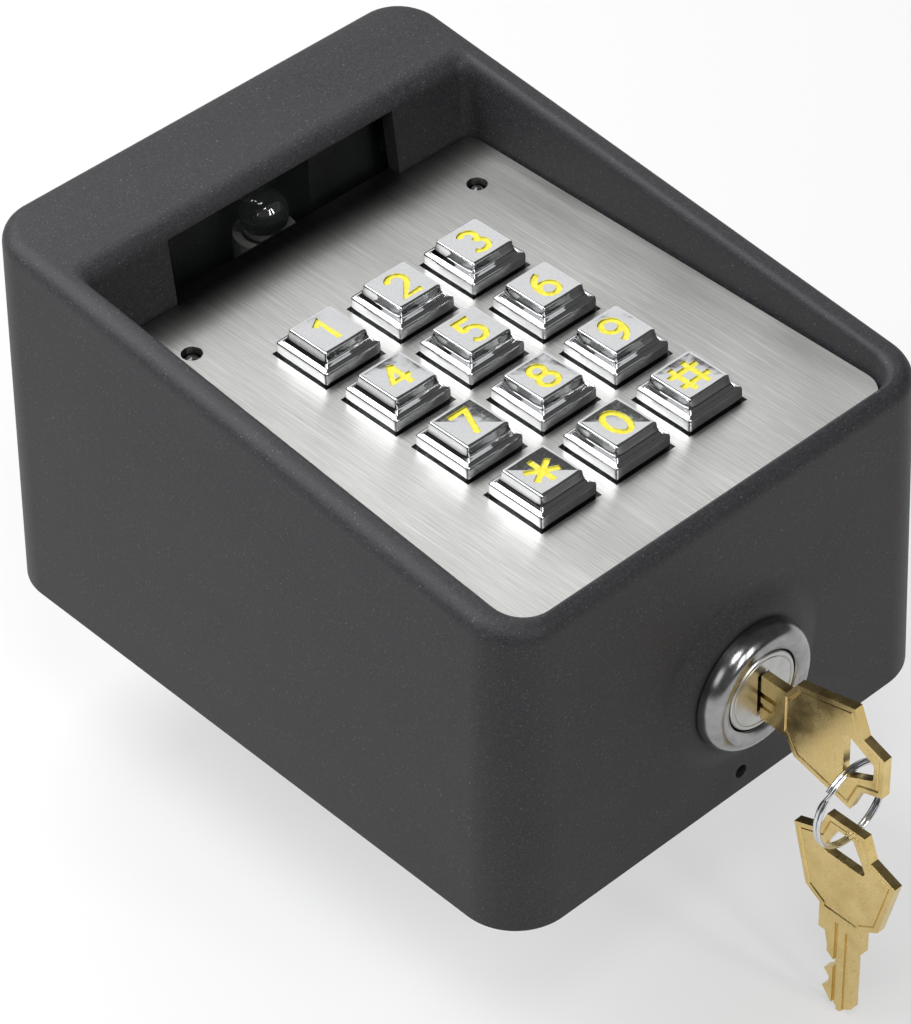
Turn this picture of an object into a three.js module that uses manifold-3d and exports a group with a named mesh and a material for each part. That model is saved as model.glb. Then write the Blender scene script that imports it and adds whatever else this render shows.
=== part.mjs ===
// Pedestal keypad access reader: a cast housing with a sloped rim and a lamp window in its hood,
// a brushed steel faceplate with twelve metal buttons, and a cam lock with a key in it.
// Millimetres. X is the width, +Y points to the hood, +Z out of the keypad.
// The origin is the centre of the back face, which rests on the mounting surface.
import * as THREE from "three";
import { mergeVertices } from "three/addons/utils/BufferGeometryUtils.js";
import Module from "manifold-3d";

// ---- driving dimensions -------------------------------------------------------------------
const WIDTH = 101.6;
const LENGTH = 132.7;
const RIM_MIDDLE = 71.3;
const RIM_SLOPE = 0.0992;
const OUTER_CORNER = 11.1;
const DRAFT = 0.0246;
const RIM_FILLET = 3;
const WALL = 3.4;
const GAP = 0.3;

const POCKET = { halfX: 42.8, near: -61.2, far: 41.0, cornerNear: 6, cornerFar: 2.5 };
const POCKET_DRAFT = { side: 0.105, near: 0.04, far: 0.134 };
const POCKET_ROUND = { side: 1.4, hood: 3.4 };

const PLATE_HEIGHT = 60.98;
const PLATE_SLOPE = -0.0109;
const PLATE_THICKNESS = 1.5;
const PLATE_CLEARANCE = 0.35;
const TAB_HALF = 25.5;
const TAB_END = 43.6;
const LEDGE = { halfX: 39.2, near: -57.6, far: 37.6, thickness: 3.2, cutBottom: 45, cutTop: 62 };

const PITCH_X = 16.95;
const PITCH_Y = 17.13;
const GRID_CENTRE = -13.09;
const CUTOUT = 13.6;
const BUTTON_NAMES = ["1", "2", "3", "4", "5", "6", "7", "8", "9", "star", "0", "hash"];
const BUTTON_TIERS = [
  [8.0, -6.0], [8.0, -3.4], [15.0, -3.4], [15.0, -1.85], [12.6, -1.85], [12.6, 2.5],
  [12.0, 2.95], [10.7, 2.95], [9.9, 4.1], [9.5, 5.0], [9.1, 5.3],
];
const LED_X = 33.2;
const LED_Y = 29.1;
const LED_HOLE = 3.8;

const FRAME = { halfX: 33, halfY: 36, top: -1.9, bottom: -7.9, well: 15.6 };
const STUD = { x: 29.6, y: 33, radius: 1.5, length: 12.4 };
const MAT = { top: -8.2, bottom: -9.4, domeTop: -6.3 };
const KEYPAD_BOARD = { halfX: 37, near: -50, far: 36, top: -9.7, bottom: -11.3 };

const MAIN_BOARD = { halfX: 45, near: -44, far: 57, bottom: 38.0, top: 39.6 };
const POST = { x: 41.2, near: -38.5, far: 51, radius: 3.6, top: 57.5, web: 5.4, webHalf: 1.4, bore: 1.6 };
const BOARD_DEPTH = { terminal: 10, relay: 15, chip: 2.4, buzzer: 9, capacitor: 12.5 };

const WINDOW = { halfX: 25.9, top: 73.2 };
const LENS = { halfX: 30.5, front: 44.6, seat: 0.5, thickness: 2.4, bottom: 55.5, top: 72.9, seal: 2.2 };
const CLIP = { reach: 8.5, boltOut: 5.4, boltHeight: 63.5, halfHeight: 3.5, thickness: 1.2 };
const HOOD = { roof: 2.2, side: 6, bottom: 50, top: 73 };
const LAMP = { x: 4.2, y: 53.2, bulbRadius: 4.6, bulbTop: 61.6, collar: 53 };

const LOCK = { x: 2.6, z: 26, boss: 17.6, bossTop: 13.4, bossHeight: 1.5 };
const LOCK_FACE = -70.6;
const BEZEL_RADIUS = 12.5;
const BARREL_RADIUS = 9.3;
const BARREL_END = -51.5;
const PLUG_CAP_RADIUS = 7.6;
const PLUG_RADIUS = 6.2;
const CAM = { front: -46.6, back: -44.1, halfWidth: 5, reach: 17 };
const WEEP = { x: 2.6, z: 4.2, radius: 1.3 };

const KEY_THICKNESS = 2.1;
const RING = { y: -91.4, z: 14.2, radius: 8.1, wireY: 1.1, wireR: 0.55 };

const BACK = { halfX: 46.6, halfY: 62.1, corner: 7.4, thickness: 2.2 };
const HOOK = { halfWidth: 6, x: 30, depth: 2, height: 9 };
const GASKET = { halfX: 45.8, near: -61.3, far: 58.6, corner: 6.6, width: 2.6, thickness: 2 };
const MOUNT_HOLES = { x: 34, y: 44, radius: 3.3 };
const CABLE_HOLE = { x: 0, y: 26, radius: 12 };
const CATCH = {
  lipNear: 10.8, postX: 23.4, postOuter: 26, lipBottom: 32.2, lipTop: 34.2,
  near: -46.2, far: -42.2, foot: 10.4, footFar: 6, sheet: 2,
};

// ---- solids -------------------------------------------------------------------------------
const wasm = await Module();
wasm.setup();

function toSolid(geometry) {
  const bare = geometry.clone();
  bare.deleteAttribute("normal");
  bare.deleteAttribute("uv");
  const welded = mergeVertices(bare, 1e-4);
  return new wasm.Manifold(new wasm.Mesh({
    numProp: 3,
    vertProperties: new Float32Array(welded.attributes.position.array),
    triVerts: new Uint32Array(welded.index.array),
  }));
}

function toGeometry(solid) {
  const mesh = solid.getMesh();
  const geometry = new THREE.BufferGeometry();
  geometry.setAttribute("position", new THREE.BufferAttribute(mesh.vertProperties, 3));
  geometry.setIndex(new THREE.BufferAttribute(mesh.triVerts, 1));
  geometry.computeVertexNormals();
  return geometry;
}

function join(first, ...others) {
  return others.reduce((sum, other) => sum.add(other), first);
}

function cut(first, ...others) {
  return others.reduce((rest, other) => rest.subtract(other), first);
}

function block(x0, x1, y0, y1, z0, z1) {
  const geometry = new THREE.BoxGeometry(x1 - x0, y1 - y0, z1 - z0);
  geometry.translate((x0 + x1) / 2, (y0 + y1) / 2, (z0 + z1) / 2);
  return toSolid(geometry);
}

function pillar(radius, x, y, z0, z1, sides = 20, topRadius = radius) {
  const geometry = new THREE.CylinderGeometry(topRadius, radius, z1 - z0, sides);
  geometry.rotateX(Math.PI / 2);
  geometry.translate(x, y, (z0 + z1) / 2);
  return toSolid(geometry);
}

// A turned piece on the lock's axis: the profile is a list of [radius, y] from the key side inwards.
function turned(profile, sides = 32) {
  const points = profile.map(([radius, y]) => new THREE.Vector2(radius, y));
  const geometry = new THREE.LatheGeometry(points, sides);
  geometry.translate(LOCK.x, 0, LOCK.z);
  return toSolid(geometry);
}

function plateShape(outline, holes = []) {
  const shape = new THREE.Shape(outline.map(([a, b]) => new THREE.Vector2(a, b)));
  for (const hole of holes) {
    shape.holes.push(new THREE.Path(hole.map(([a, b]) => new THREE.Vector2(a, b))));
  }
  return shape;
}

function prism(shape, z0, z1, curveSegments = 8) {
  const geometry = new THREE.ExtrudeGeometry(shape, { depth: z1 - z0, bevelEnabled: false, curveSegments });
  geometry.translate(0, 0, z0);
  return geometry;
}

// Rounded rectangle as points: corners are [x, y, radius, start angle], counter-clockwise.
function roundedOutline(x0, x1, y0, y1, radii, steps = 8) {
  const [rightFar, leftFar, leftNear, rightNear] = radii;
  const corners = [
    [x1 - rightFar, y1 - rightFar, rightFar, 0],
    [x0 + leftFar, y1 - leftFar, leftFar, Math.PI / 2],
    [x0 + leftNear, y0 + leftNear, leftNear, Math.PI],
    [x1 - rightNear, y0 + rightNear, rightNear, 1.5 * Math.PI],
  ];
  const points = [];
  for (const [cx, cy, radius, start] of corners) {
    for (let step = 0; step <= steps; step++) {
      const angle = start + (step / steps) * (Math.PI / 2);
      points.push([cx + radius * Math.cos(angle), cy + radius * Math.sin(angle)]);
    }
  }
  return points;
}

// A solid skinned over a stack of outlines that all have the same number of points.
function skin(rings) {
  const count = rings[0].length;
  const positions = rings.flat(2);
  const index = [];
  for (let level = 0; level + 1 < rings.length; level++) {
    for (let i = 0; i < count; i++) {
      const next = (i + 1) % count;
      const a = level * count + i;
      const b = level * count + next;
      index.push(a, b, b + count, a, b + count, a + count);
    }
  }
  const flat = rings[0].map(([x, y]) => new THREE.Vector2(x, y));
  for (const [a, b, c] of THREE.ShapeUtils.triangulateShape(flat, [])) {
    index.push(a, c, b);
  }
  const last = (rings.length - 1) * count;
  const lid = rings[rings.length - 1].map(([x, y]) => new THREE.Vector2(x, y));
  for (const [a, b, c] of THREE.ShapeUtils.triangulateShape(lid, [])) {
    index.push(last + a, last + b, last + c);
  }
  const geometry = new THREE.BufferGeometry();
  geometry.setAttribute("position", new THREE.Float32BufferAttribute(positions, 3));
  geometry.setIndex(index);
  return toSolid(geometry);
}

function rimHeight(y) {
  return RIM_MIDDLE + RIM_SLOPE * y;
}

function plateZ(y, above = 0) {
  return PLATE_HEIGHT + PLATE_SLOPE * y + above;
}

// ---- finishes -----------------------------------------------------------------------------
function finish(color, roughness, metalness) {
  return () => new THREE.MeshStandardMaterial({ color, roughness, metalness });
}
const powderCoat = finish(0x45454a, 0.62, 0.1);
const brushedSteel = finish(0xb4b4b0, 0.32, 1);
const chrome = finish(0xdcdcdc, 0.08, 1);
const brass = finish(0xc9a54a, 0.28, 1);
const zincPlate = finish(0x9a9c9c, 0.4, 1);
const blackPlastic = finish(0x1c1c1e, 0.5, 0);
const whitePlastic = finish(0xdedcd4, 0.5, 0);
const greenBoard = finish(0x1f5a38, 0.45, 0);
const greenPlastic = finish(0x2f7a4a, 0.45, 0);
const silicone = finish(0x8f9499, 0.7, 0);
const blackRubber = finish(0x161616, 0.85, 0);
const smokedGlass = finish(0x20262a, 0.05, 0);
const clearGlass = finish(0xe6ecee, 0.03, 0);

const reader = new THREE.Group();

function addPiece(name, shape, material, parent = reader) {
  const geometry = shape.isBufferGeometry ? shape : toGeometry(shape);
  const mesh = new THREE.Mesh(geometry, material());
  mesh.name = name;
  parent.add(mesh);
  return mesh;
}

// Pieces that lie parallel to the faceplate share a group whose z = 0 is the plate's top face.
const deck = new THREE.Group();
deck.position.set(0, 0, PLATE_HEIGHT);
deck.rotation.x = Math.atan(PLATE_SLOPE);
reader.add(deck);

// ---- housing ------------------------------------------------------------------------------
function outerRing(inset, height) {
  const shrink = (z) => inset + DRAFT * z;
  const outline = (z) => roundedOutline(
    -WIDTH / 2 + shrink(z), WIDTH / 2 - shrink(z), -LENGTH / 2 + shrink(z), LENGTH / 2 - shrink(z),
    Array(4).fill(Math.max(OUTER_CORNER - inset, 2)),
  );
  return outline(height(0)).map(([x, y]) => [x, y, height(y)]);
}

function housingBody() {
  const rings = [outerRing(0, () => 0)];
  const steps = 4;
  for (let step = 0; step <= steps; step++) {
    const angle = (step / steps) * (Math.PI / 2);
    const inset = RIM_FILLET * (1 - Math.cos(angle));
    const drop = RIM_FILLET * (1 - Math.sin(angle));
    rings.push(outerRing(inset, (y) => rimHeight(y) - drop));
  }
  return skin(rings);
}

function pocketRing(level, flare) {
  const rise = level - PLATE_HEIGHT;
  const side = POCKET.halfX + POCKET_DRAFT.side * rise + flare(POCKET_ROUND.side);
  const near = POCKET.near - POCKET_DRAFT.near * rise - flare(POCKET_ROUND.side);
  const far = POCKET.far + POCKET_DRAFT.far * rise + flare(POCKET_ROUND.hood);
  const { cornerFar, cornerNear } = POCKET;
  const edge = flare(POCKET_ROUND.side);
  const radii = [cornerFar + edge, cornerFar + edge, cornerNear + edge, cornerNear + edge];
  return roundedOutline(-side, side, near, far, radii, 6);
}

// The pocket above the faceplate, with its rounded lip and the softer brow of the hood.
function pocketCutter() {
  const floor = (y) => plateZ(y, -PLATE_THICKNESS - GAP);
  const rings = [pocketRing(PLATE_HEIGHT, () => 0).map(([x, y]) => [x, y, floor(y)])];
  const steps = 4;
  for (let step = 0; step <= steps; step++) {
    const angle = (step / steps) * (Math.PI / 2);
    const flare = (radius) => radius * (1 - Math.cos(angle));
    const outline = pocketRing(rimHeight(0) - POCKET_ROUND.side, flare);
    rings.push(outline.map(([x, y]) => {
      const brow = THREE.MathUtils.smoothstep(y, POCKET.far - 5, POCKET.far + 1);
      const radius = POCKET_ROUND.side + (POCKET_ROUND.hood - POCKET_ROUND.side) * brow;
      return [x, y, rimHeight(y) - radius * (1 - Math.sin(angle))];
    }));
  }
  rings.push(rings[rings.length - 1].map(([x, y, z]) => [x, y, z + 6]));
  return skin(rings);
}

function wallOffsetRing(z) {
  const inset = WALL + DRAFT * z;
  return roundedOutline(
    -WIDTH / 2 + inset, WIDTH / 2 - inset, -LENGTH / 2 + inset, LENGTH / 2 - inset,
    Array(4).fill(OUTER_CORNER - WALL), 5,
  );
}

function cavityCutter() {
  const ceiling = (y) => plateZ(y, -PLATE_THICKNESS - GAP - LEDGE.thickness);
  return skin([
    wallOffsetRing(0).map(([x, y]) => [x, y, -1]),
    wallOffsetRing(PLATE_HEIGHT).map(([x, y]) => [x, y, ceiling(y)]),
  ]);
}

// The window and its fixings lean with the hood's inner wall: the offset at a height z.
function leaning(z) {
  return POCKET_DRAFT.far * (z - PLATE_HEIGHT);
}

function hoodCavityCutter() {
  const front = (z) => LENS.front - 0.4 + leaning(z);
  const outline = (z) => roundedOutline(
    -WIDTH / 2 + HOOD.side, WIDTH / 2 - HOOD.side, front(z), LENGTH / 2 - WALL - DRAFT * z, [5, 5, 1, 1], 5,
  );
  return skin([
    outline(HOOD.bottom).map(([x, y]) => [x, y, HOOD.bottom]),
    outline(HOOD.top).map(([x, y]) => [x, y, rimHeight(y) - HOOD.roof]),
  ]);
}

function lockBoss() {
  const skinDepth = 1.2;
  const face = -LENGTH / 2 + DRAFT * LOCK.z;
  return turned([
    [0, face - LOCK.bossHeight], [LOCK.bossTop, face - LOCK.bossHeight],
    [LOCK.boss, face + 0.25], [LOCK.boss, face + skinDepth], [0, face + skinDepth],
  ], 40);
}

function housing() {
  const face = -LENGTH / 2;
  let body = join(housingBody(), lockBoss());
  body = cut(
    body,
    cavityCutter(),
    hoodCavityCutter(),
    pocketCutter(),
    block(-LEDGE.halfX, LEDGE.halfX, LEDGE.near, LEDGE.far, LEDGE.cutBottom, LEDGE.cutTop),
    block(-WINDOW.halfX, WINDOW.halfX, LEDGE.far - 1, LENS.front + 3, HOOD.bottom, WINDOW.top),
    turned([[0, face - 6], [BARREL_RADIUS + GAP, face - 6], [BARREL_RADIUS + GAP, face + 8], [0, face + 8]]),
    weepHole(),
  );
  const posts = [];
  for (const x of [-POST.x, POST.x]) {
    for (const y of [POST.near, POST.far]) {
      posts.push(boardPost(x, y));
    }
  }
  return join(body, ...posts);
}

function weepHole() {
  const geometry = new THREE.CylinderGeometry(WEEP.radius, WEEP.radius, 12, 16);
  geometry.translate(WEEP.x, -LENGTH / 2, WEEP.z);
  return toSolid(geometry);
}

// Each post hangs from the ledge or from the hood's side and takes one board screw.
function boardPost(x, y) {
  const { radius, top, webHalf, bore } = POST;
  const wall = x + Math.sign(x) * POST.web;
  const web = block(Math.min(x, wall), Math.max(x, wall), y - webHalf, y + webHalf, MAIN_BOARD.top + 3, top);
  const column = pillar(radius, x, y, MAIN_BOARD.top + GAP, top, 16);
  const hole = pillar(bore, x, y, MAIN_BOARD.top - 1, MAIN_BOARD.top + 9, 10);
  return cut(join(column, web), hole);
}

addPiece("housing", housing(), powderCoat);

// ---- faceplate, on the deck ---------------------------------------------------------------
function facePlate() {
  const c = PLATE_CLEARANCE;
  const sheet = plateShape(roundedOutline(
    -POCKET.halfX + c, POCKET.halfX - c, POCKET.near + c, POCKET.far - c,
    [2.2, 2.2, 5.6, 5.6], 6,
  ));
  let plate = join(
    toSolid(prism(sheet, -PLATE_THICKNESS, 0)),
    block(-TAB_HALF, TAB_HALF, POCKET.far - 4, TAB_END, -PLATE_THICKNESS, 0),
  );
  const half = CUTOUT / 2;
  for (const [x, y] of buttonPlaces()) {
    plate = cut(plate, block(x - half, x + half, y - half, y + half, -5, 5));
  }
  for (const x of [-LED_X, LED_X]) {
    plate = cut(plate, pillar(LED_HOLE / 2, x, LED_Y, -5, 5, 20));
  }
  for (const [x, y] of studPlaces()) {
    plate = join(plate, pillar(STUD.radius, x, y, -STUD.length, -PLATE_THICKNESS + 0.5, 10));
  }
  return plate;
}

function buttonPlaces() {
  return BUTTON_NAMES.map((name, i) => [
    ((i % 3) - 1) * PITCH_X,
    GRID_CENTRE + (1.5 - Math.floor(i / 3)) * PITCH_Y,
  ]);
}

function studPlaces() {
  const places = [];
  for (const x of [-STUD.x, STUD.x]) {
    for (const y of [-STUD.y, STUD.y]) {
      places.push([x, GRID_CENTRE + y]);
    }
  }
  return places;
}

addPiece("faceplate", facePlate(), brushedSteel, deck);

// ---- buttons ------------------------------------------------------------------------------
function buttonCap(x, y) {
  const rings = BUTTON_TIERS.map(([size, height]) => {
    const half = size / 2;
    const corner = Math.min(0.6, size / 10);
    return roundedOutline(x - half, x + half, y - half, y + half, Array(4).fill(corner), 2)
      .map(([px, py]) => [px, py, height]);
  });
  return skin(rings);
}

buttonPlaces().forEach(([x, y], i) => {
  addPiece(`button_${BUTTON_NAMES[i]}`, buttonCap(x, y), chrome, deck);
});

// ---- keypad stack under the plate ---------------------------------------------------------
function studClearance(radius, z0, z1) {
  return studPlaces().map(([x, y]) => pillar(radius, x, y, z0, z1, 12));
}

function keypadFrame() {
  const { halfX, halfY, top, bottom, well } = FRAME;
  let frame = block(-halfX, halfX, GRID_CENTRE - halfY, GRID_CENTRE + halfY, bottom, top);
  for (const [x, y] of buttonPlaces()) {
    frame = cut(frame, block(x - well / 2, x + well / 2, y - well / 2, y + well / 2, bottom - 1, top + 1));
  }
  return cut(frame, ...studClearance(STUD.radius + GAP, bottom - 1, top + 1));
}

function keypadMat() {
  const { halfX, halfY } = FRAME;
  let mat = block(-halfX, halfX, GRID_CENTRE - halfY, GRID_CENTRE + halfY, MAT.bottom, MAT.top);
  for (const [x, y] of buttonPlaces()) {
    mat = join(mat, pillar(4.6, x, y, MAT.top - 0.5, MAT.domeTop, 14, 3.2));
  }
  return cut(mat, ...studClearance(STUD.radius + GAP, MAT.bottom - 1, MAT.top + 1));
}

function keypadBoard() {
  const { halfX, near, far, top, bottom } = KEYPAD_BOARD;
  const board = block(-halfX, halfX, near, far, bottom, top);
  return cut(board, ...studClearance(STUD.radius + GAP, bottom - 1, top + 1));
}

function hexNut(across, hole, x, y, z0, z1) {
  const nut = pillar(across / Math.sqrt(3), x, y, z0, z1, 6);
  return cut(nut, pillar(hole, x, y, z0 - 1, z1 + 1, 12));
}

addPiece("keypad_frame", keypadFrame(), blackPlastic, deck);
addPiece("keypad_mat", keypadMat(), silicone, deck);
addPiece("keypad_board", keypadBoard(), greenBoard, deck);
studPlaces().forEach(([x, y], i) => {
  const top = KEYPAD_BOARD.bottom - GAP;
  // The stud's end is inside the nut's bore, so the nut only clears it.
  addPiece(`keypad_nut_${i + 1}`, hexNut(5.5, STUD.radius + GAP, x, y, top - 2.4, top), zincPlate, deck);
});

function indicator(x) {
  const base = KEYPAD_BOARD.top + GAP;
  const tip = -0.7;
  const profile = [
    [0, base], [1.9, base], [1.9, base + 1], [1.5, base + 1], [1.5, tip - 1.5], [1.1, tip - 0.4], [0, tip],
  ];
  const geometry = new THREE.LatheGeometry(profile.map(([r, z]) => new THREE.Vector2(r, z)), 14);
  geometry.rotateX(Math.PI / 2);
  geometry.translate(x, LED_Y, 0);
  return toSolid(geometry);
}
addPiece("indicator_left", indicator(-LED_X), clearGlass, deck);
addPiece("indicator_right", indicator(LED_X), clearGlass, deck);

// ---- main board and what is soldered to it ------------------------------------------------
function mainBoard() {
  const { halfX, near, far, bottom, top } = MAIN_BOARD;
  let board = block(-halfX, halfX, near, far, bottom, top);
  for (const x of [-POST.x, POST.x]) {
    for (const y of [POST.near, POST.far]) {
      board = cut(board, pillar(1.9, x, y, bottom - 1, top + 1, 12));
    }
  }
  return board;
}

function boardScrew(x, y) {
  const head = MAIN_BOARD.bottom - GAP;
  return join(
    pillar(3, x, y, head - 2, head, 14),
    pillar(1.3, x, y, head - 1, MAIN_BOARD.top + 7.5, 10),
  );
}

addPiece("main_board", mainBoard(), greenBoard);
[[-1, "near"], [1, "near"], [-1, "far"], [1, "far"]].forEach(([side, end], i) => {
  addPiece(`board_screw_${i + 1}`, boardScrew(side * POST.x, POST[end]), zincPlate);
});

// Field wiring terminals, with an entry mouth and a screw well for each way.
function terminalBlock(x0, ways, y) {
  const pitch = 5;
  const under = MAIN_BOARD.bottom - GAP;
  const length = ways * pitch;
  let body = block(x0, x0 + length, y - 4.5, y + 4.5, under - BOARD_DEPTH.terminal, under);
  for (let way = 0; way < ways; way++) {
    const x = x0 + (way + 0.5) * pitch;
    body = cut(
      body,
      block(x - 1.6, x + 1.6, y - 5, y - 1, under - 5.5, under - 2),
      pillar(1.7, x, y + 0.8, under - 11, under - 7, 10),
    );
  }
  return body;
}
addPiece("terminal_block_power", terminalBlock(-30, 4, -30), greenPlastic);
addPiece("terminal_block_signal", terminalBlock(-5, 6, -30), greenPlastic);

function boxOnBoard(x0, x1, y0, y1, height, chamfer) {
  const under = MAIN_BOARD.bottom - GAP;
  const corners = Array(4).fill(0.8);
  const outline = (inset) => roundedOutline(x0 + inset, x1 - inset, y0 + inset, y1 - inset, corners, 2);
  return skin([
    outline(chamfer).map(([x, y]) => [x, y, under - height]),
    outline(0).map(([x, y]) => [x, y, under - height + chamfer]),
    outline(0).map(([x, y]) => [x, y, under]),
  ]);
}
addPiece("relay", boxOnBoard(-32, -13, -8, 8, BOARD_DEPTH.relay, 0.6), blackPlastic);
addPiece("controller_chip", boxOnBoard(2, 16, -6, 8, BOARD_DEPTH.chip, 0.3), blackPlastic);

function buzzer() {
  const under = MAIN_BOARD.bottom - GAP;
  const bottom = under - BOARD_DEPTH.buzzer;
  return cut(pillar(6, 28, -2, bottom, under, 24), pillar(1.1, 28, -2, bottom - 1, bottom + 3, 10));
}
addPiece("buzzer", buzzer(), blackPlastic);

function capacitor() {
  const under = MAIN_BOARD.bottom - GAP;
  const can = pillar(4, -20, 42, under - BOARD_DEPTH.capacitor, under, 20);
  const base = pillar(4.3, -20, 42, under - 1.6, under, 20);
  return join(can, base);
}
addPiece("capacitor", capacitor(), blackPlastic);

function ribbonCable() {
  const thickness = 1;
  const x = KEYPAD_BOARD.halfX - 10;
  const top = plateZ(31, KEYPAD_BOARD.bottom - GAP - 0.1);
  return block(x - 20, x, 31, 31 + thickness, MAIN_BOARD.top + GAP, top);
}
addPiece("ribbon_cable", ribbonCable(), silicone);

// ---- lamp, window and its fixings ---------------------------------------------------------
function lampSocket() {
  const base = MAIN_BOARD.top + GAP;
  const { x, y, bulbRadius, collar } = LAMP;
  const body = join(pillar(7, x, y, base, base + 3, 20), pillar(bulbRadius + 1.2, x, y, base, collar, 20));
  return cut(body, pillar(bulbRadius - 0.4, x, y, collar - 6, collar + 1, 18));
}

function lampBulb() {
  const { x, y, bulbRadius, bulbTop, collar } = LAMP;
  const points = [new THREE.Vector2(0, collar - 5.5), new THREE.Vector2(bulbRadius - 0.8, collar - 5.5)];
  points.push(new THREE.Vector2(bulbRadius - 0.8, collar + 0.3));
  const steps = 7;
  const centre = bulbTop - bulbRadius;
  for (let step = 0; step <= steps; step++) {
    const angle = (step / steps) * (Math.PI / 2);
    points.push(new THREE.Vector2(bulbRadius * Math.cos(angle), centre + bulbRadius * Math.sin(angle)));
  }
  points[points.length - 1].x = 0;
  const geometry = new THREE.LatheGeometry(points, 20);
  geometry.rotateX(Math.PI / 2);
  geometry.translate(x, y, 0);
  return toSolid(geometry);
}
addPiece("lamp_socket", lampSocket(), whitePlastic);
addPiece("lamp_bulb", lampBulb(), clearGlass);
addPiece("light_baffle", block(11.8, 27, 49.4, 58, MAIN_BOARD.top + GAP, 70), blackPlastic);

function leaningSheet(x0, x1, front, back, z0, z1) {
  const outline = [
    [front + leaning(z0), z0], [back + leaning(z0), z0], [back + leaning(z1), z1], [front + leaning(z1), z1],
  ];
  const geometry = prism(plateShape(outline), x0, x1);
  geometry.rotateZ(Math.PI / 2);
  geometry.rotateY(Math.PI / 2);
  return toSolid(geometry);
}

function windowLens() {
  const { halfX, front, seat, thickness, bottom, top } = LENS;
  return leaningSheet(-halfX, halfX, front + seat, front + seat + thickness, bottom, top);
}

function lensSeal() {
  const { halfX, front, seat, thickness, bottom, top, seal } = LENS;
  const back = front + seat + thickness;
  const left = leaningSheet(-halfX - seal, -halfX - GAP, front, back, bottom - seal, top);
  const right = leaningSheet(halfX + GAP, halfX + seal, front, back, bottom - seal, top);
  const foot = leaningSheet(-halfX - seal, halfX + seal, front, back, bottom - seal, bottom - GAP);
  return join(left, right, foot);
}

function lensClip(side) {
  const back = LENS.front + LENS.seat + LENS.thickness + GAP;
  const inner = side * (LENS.halfX - 2);
  const outer = side * (LENS.halfX + CLIP.reach);
  const clip = leaningSheet(
    Math.min(inner, outer), Math.max(inner, outer), back, back + CLIP.thickness,
    CLIP.boltHeight - CLIP.halfHeight, CLIP.boltHeight + CLIP.halfHeight,
  );
  return cut(clip, lensBolt(side, 1.8, 14));
}

function lensBolt(side, radius, sides) {
  const geometry = new THREE.CylinderGeometry(radius, radius, 12, sides);
  geometry.translate(side * (LENS.halfX + CLIP.boltOut), LENS.front + 3, CLIP.boltHeight);
  return toSolid(geometry);
}

function lensScrew(side) {
  const x = side * (LENS.halfX + CLIP.boltOut);
  const seat = LENS.front + LENS.seat + LENS.thickness + GAP + CLIP.thickness + 1;
  const head = new THREE.CylinderGeometry(2.6, 2.6, 1.8, 14);
  head.translate(x, seat + 0.9, CLIP.boltHeight);
  const shank = new THREE.CylinderGeometry(1.3, 1.3, 4, 10);
  shank.translate(x, seat - 1.6, CLIP.boltHeight);
  return join(toSolid(head), toSolid(shank));
}
addPiece("window_lens", windowLens(), smokedGlass);
addPiece("lens_seal", lensSeal(), blackRubber);
addPiece("lens_clip_left", lensClip(-1), zincPlate);
addPiece("lens_clip_right", lensClip(1), zincPlate);
addPiece("lens_screw_left", lensScrew(-1), zincPlate);
addPiece("lens_screw_right", lensScrew(1), zincPlate);

// ---- cam lock -----------------------------------------------------------------------------
function lockBody() {
  const seat = -LENGTH / 2 + DRAFT * LOCK.z - LOCK.bossHeight - GAP;
  const crest = LOCK_FACE - 0.7;
  const profile = [[PLUG_CAP_RADIUS + GAP, LOCK_FACE + 3], [PLUG_CAP_RADIUS + GAP, crest + 0.8]];
  const steps = 6;
  const inner = PLUG_CAP_RADIUS + GAP;
  const middle = (inner + BEZEL_RADIUS) / 2;
  for (let step = 0; step <= steps; step++) {
    const angle = Math.PI - (step / steps) * Math.PI;
    const rise = Math.sin(angle);
    const x = middle + (BEZEL_RADIUS - inner) / 2 * Math.cos(angle);
    const base = step > steps / 2 ? seat - 0.4 : crest + 0.8;
    profile.push([x, base + (crest - base) * rise]);
  }
  profile.push([BEZEL_RADIUS, seat]);
  profile.push([BARREL_RADIUS, seat]);
  profile.push([BARREL_RADIUS, BARREL_END]);
  profile.push([PLUG_RADIUS + GAP, BARREL_END]);
  profile.push([PLUG_RADIUS + GAP, LOCK_FACE + 3]);
  profile.push(profile[0]);
  return turned(profile, 30);
}

function lockNut() {
  const front = -LENGTH / 2 + WALL + DRAFT * LOCK.z + GAP + 0.4;
  const hexagon = new THREE.CylinderGeometry(13, 13, 4, 6);
  hexagon.translate(LOCK.x, front + 2, LOCK.z);
  const bore = new THREE.CylinderGeometry(BARREL_RADIUS + GAP, BARREL_RADIUS + GAP, 6, 28);
  bore.translate(LOCK.x, front + 2, LOCK.z);
  return cut(toSolid(hexagon), toSolid(bore));
}

function lockPlug() {
  const body = turned([
    [0, LOCK_FACE], [PLUG_CAP_RADIUS, LOCK_FACE], [PLUG_CAP_RADIUS, LOCK_FACE + 2.6],
    [PLUG_RADIUS, LOCK_FACE + 2.6], [PLUG_RADIUS, CAM.front - GAP], [0, CAM.front - GAP],
  ]);
  const tail = block(LOCK.x - 2.6, LOCK.x + 2.6, CAM.front - 1, CAM.back - 0.4, LOCK.z - 2.6, LOCK.z + 2.6);
  const keyway = block(
    LOCK.x - KEY_THICKNESS / 2 - GAP, LOCK.x + KEY_THICKNESS / 2 + GAP,
    LOCK_FACE - 1, LOCK_FACE + 18, LOCK.z - 4, LOCK.z + 4,
  );
  const screwBore = new THREE.CylinderGeometry(1.8, 1.8, 8, 10);
  screwBore.translate(LOCK.x, CAM.back - 1, LOCK.z);
  return cut(join(body, tail), keyway, toSolid(screwBore));
}

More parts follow.
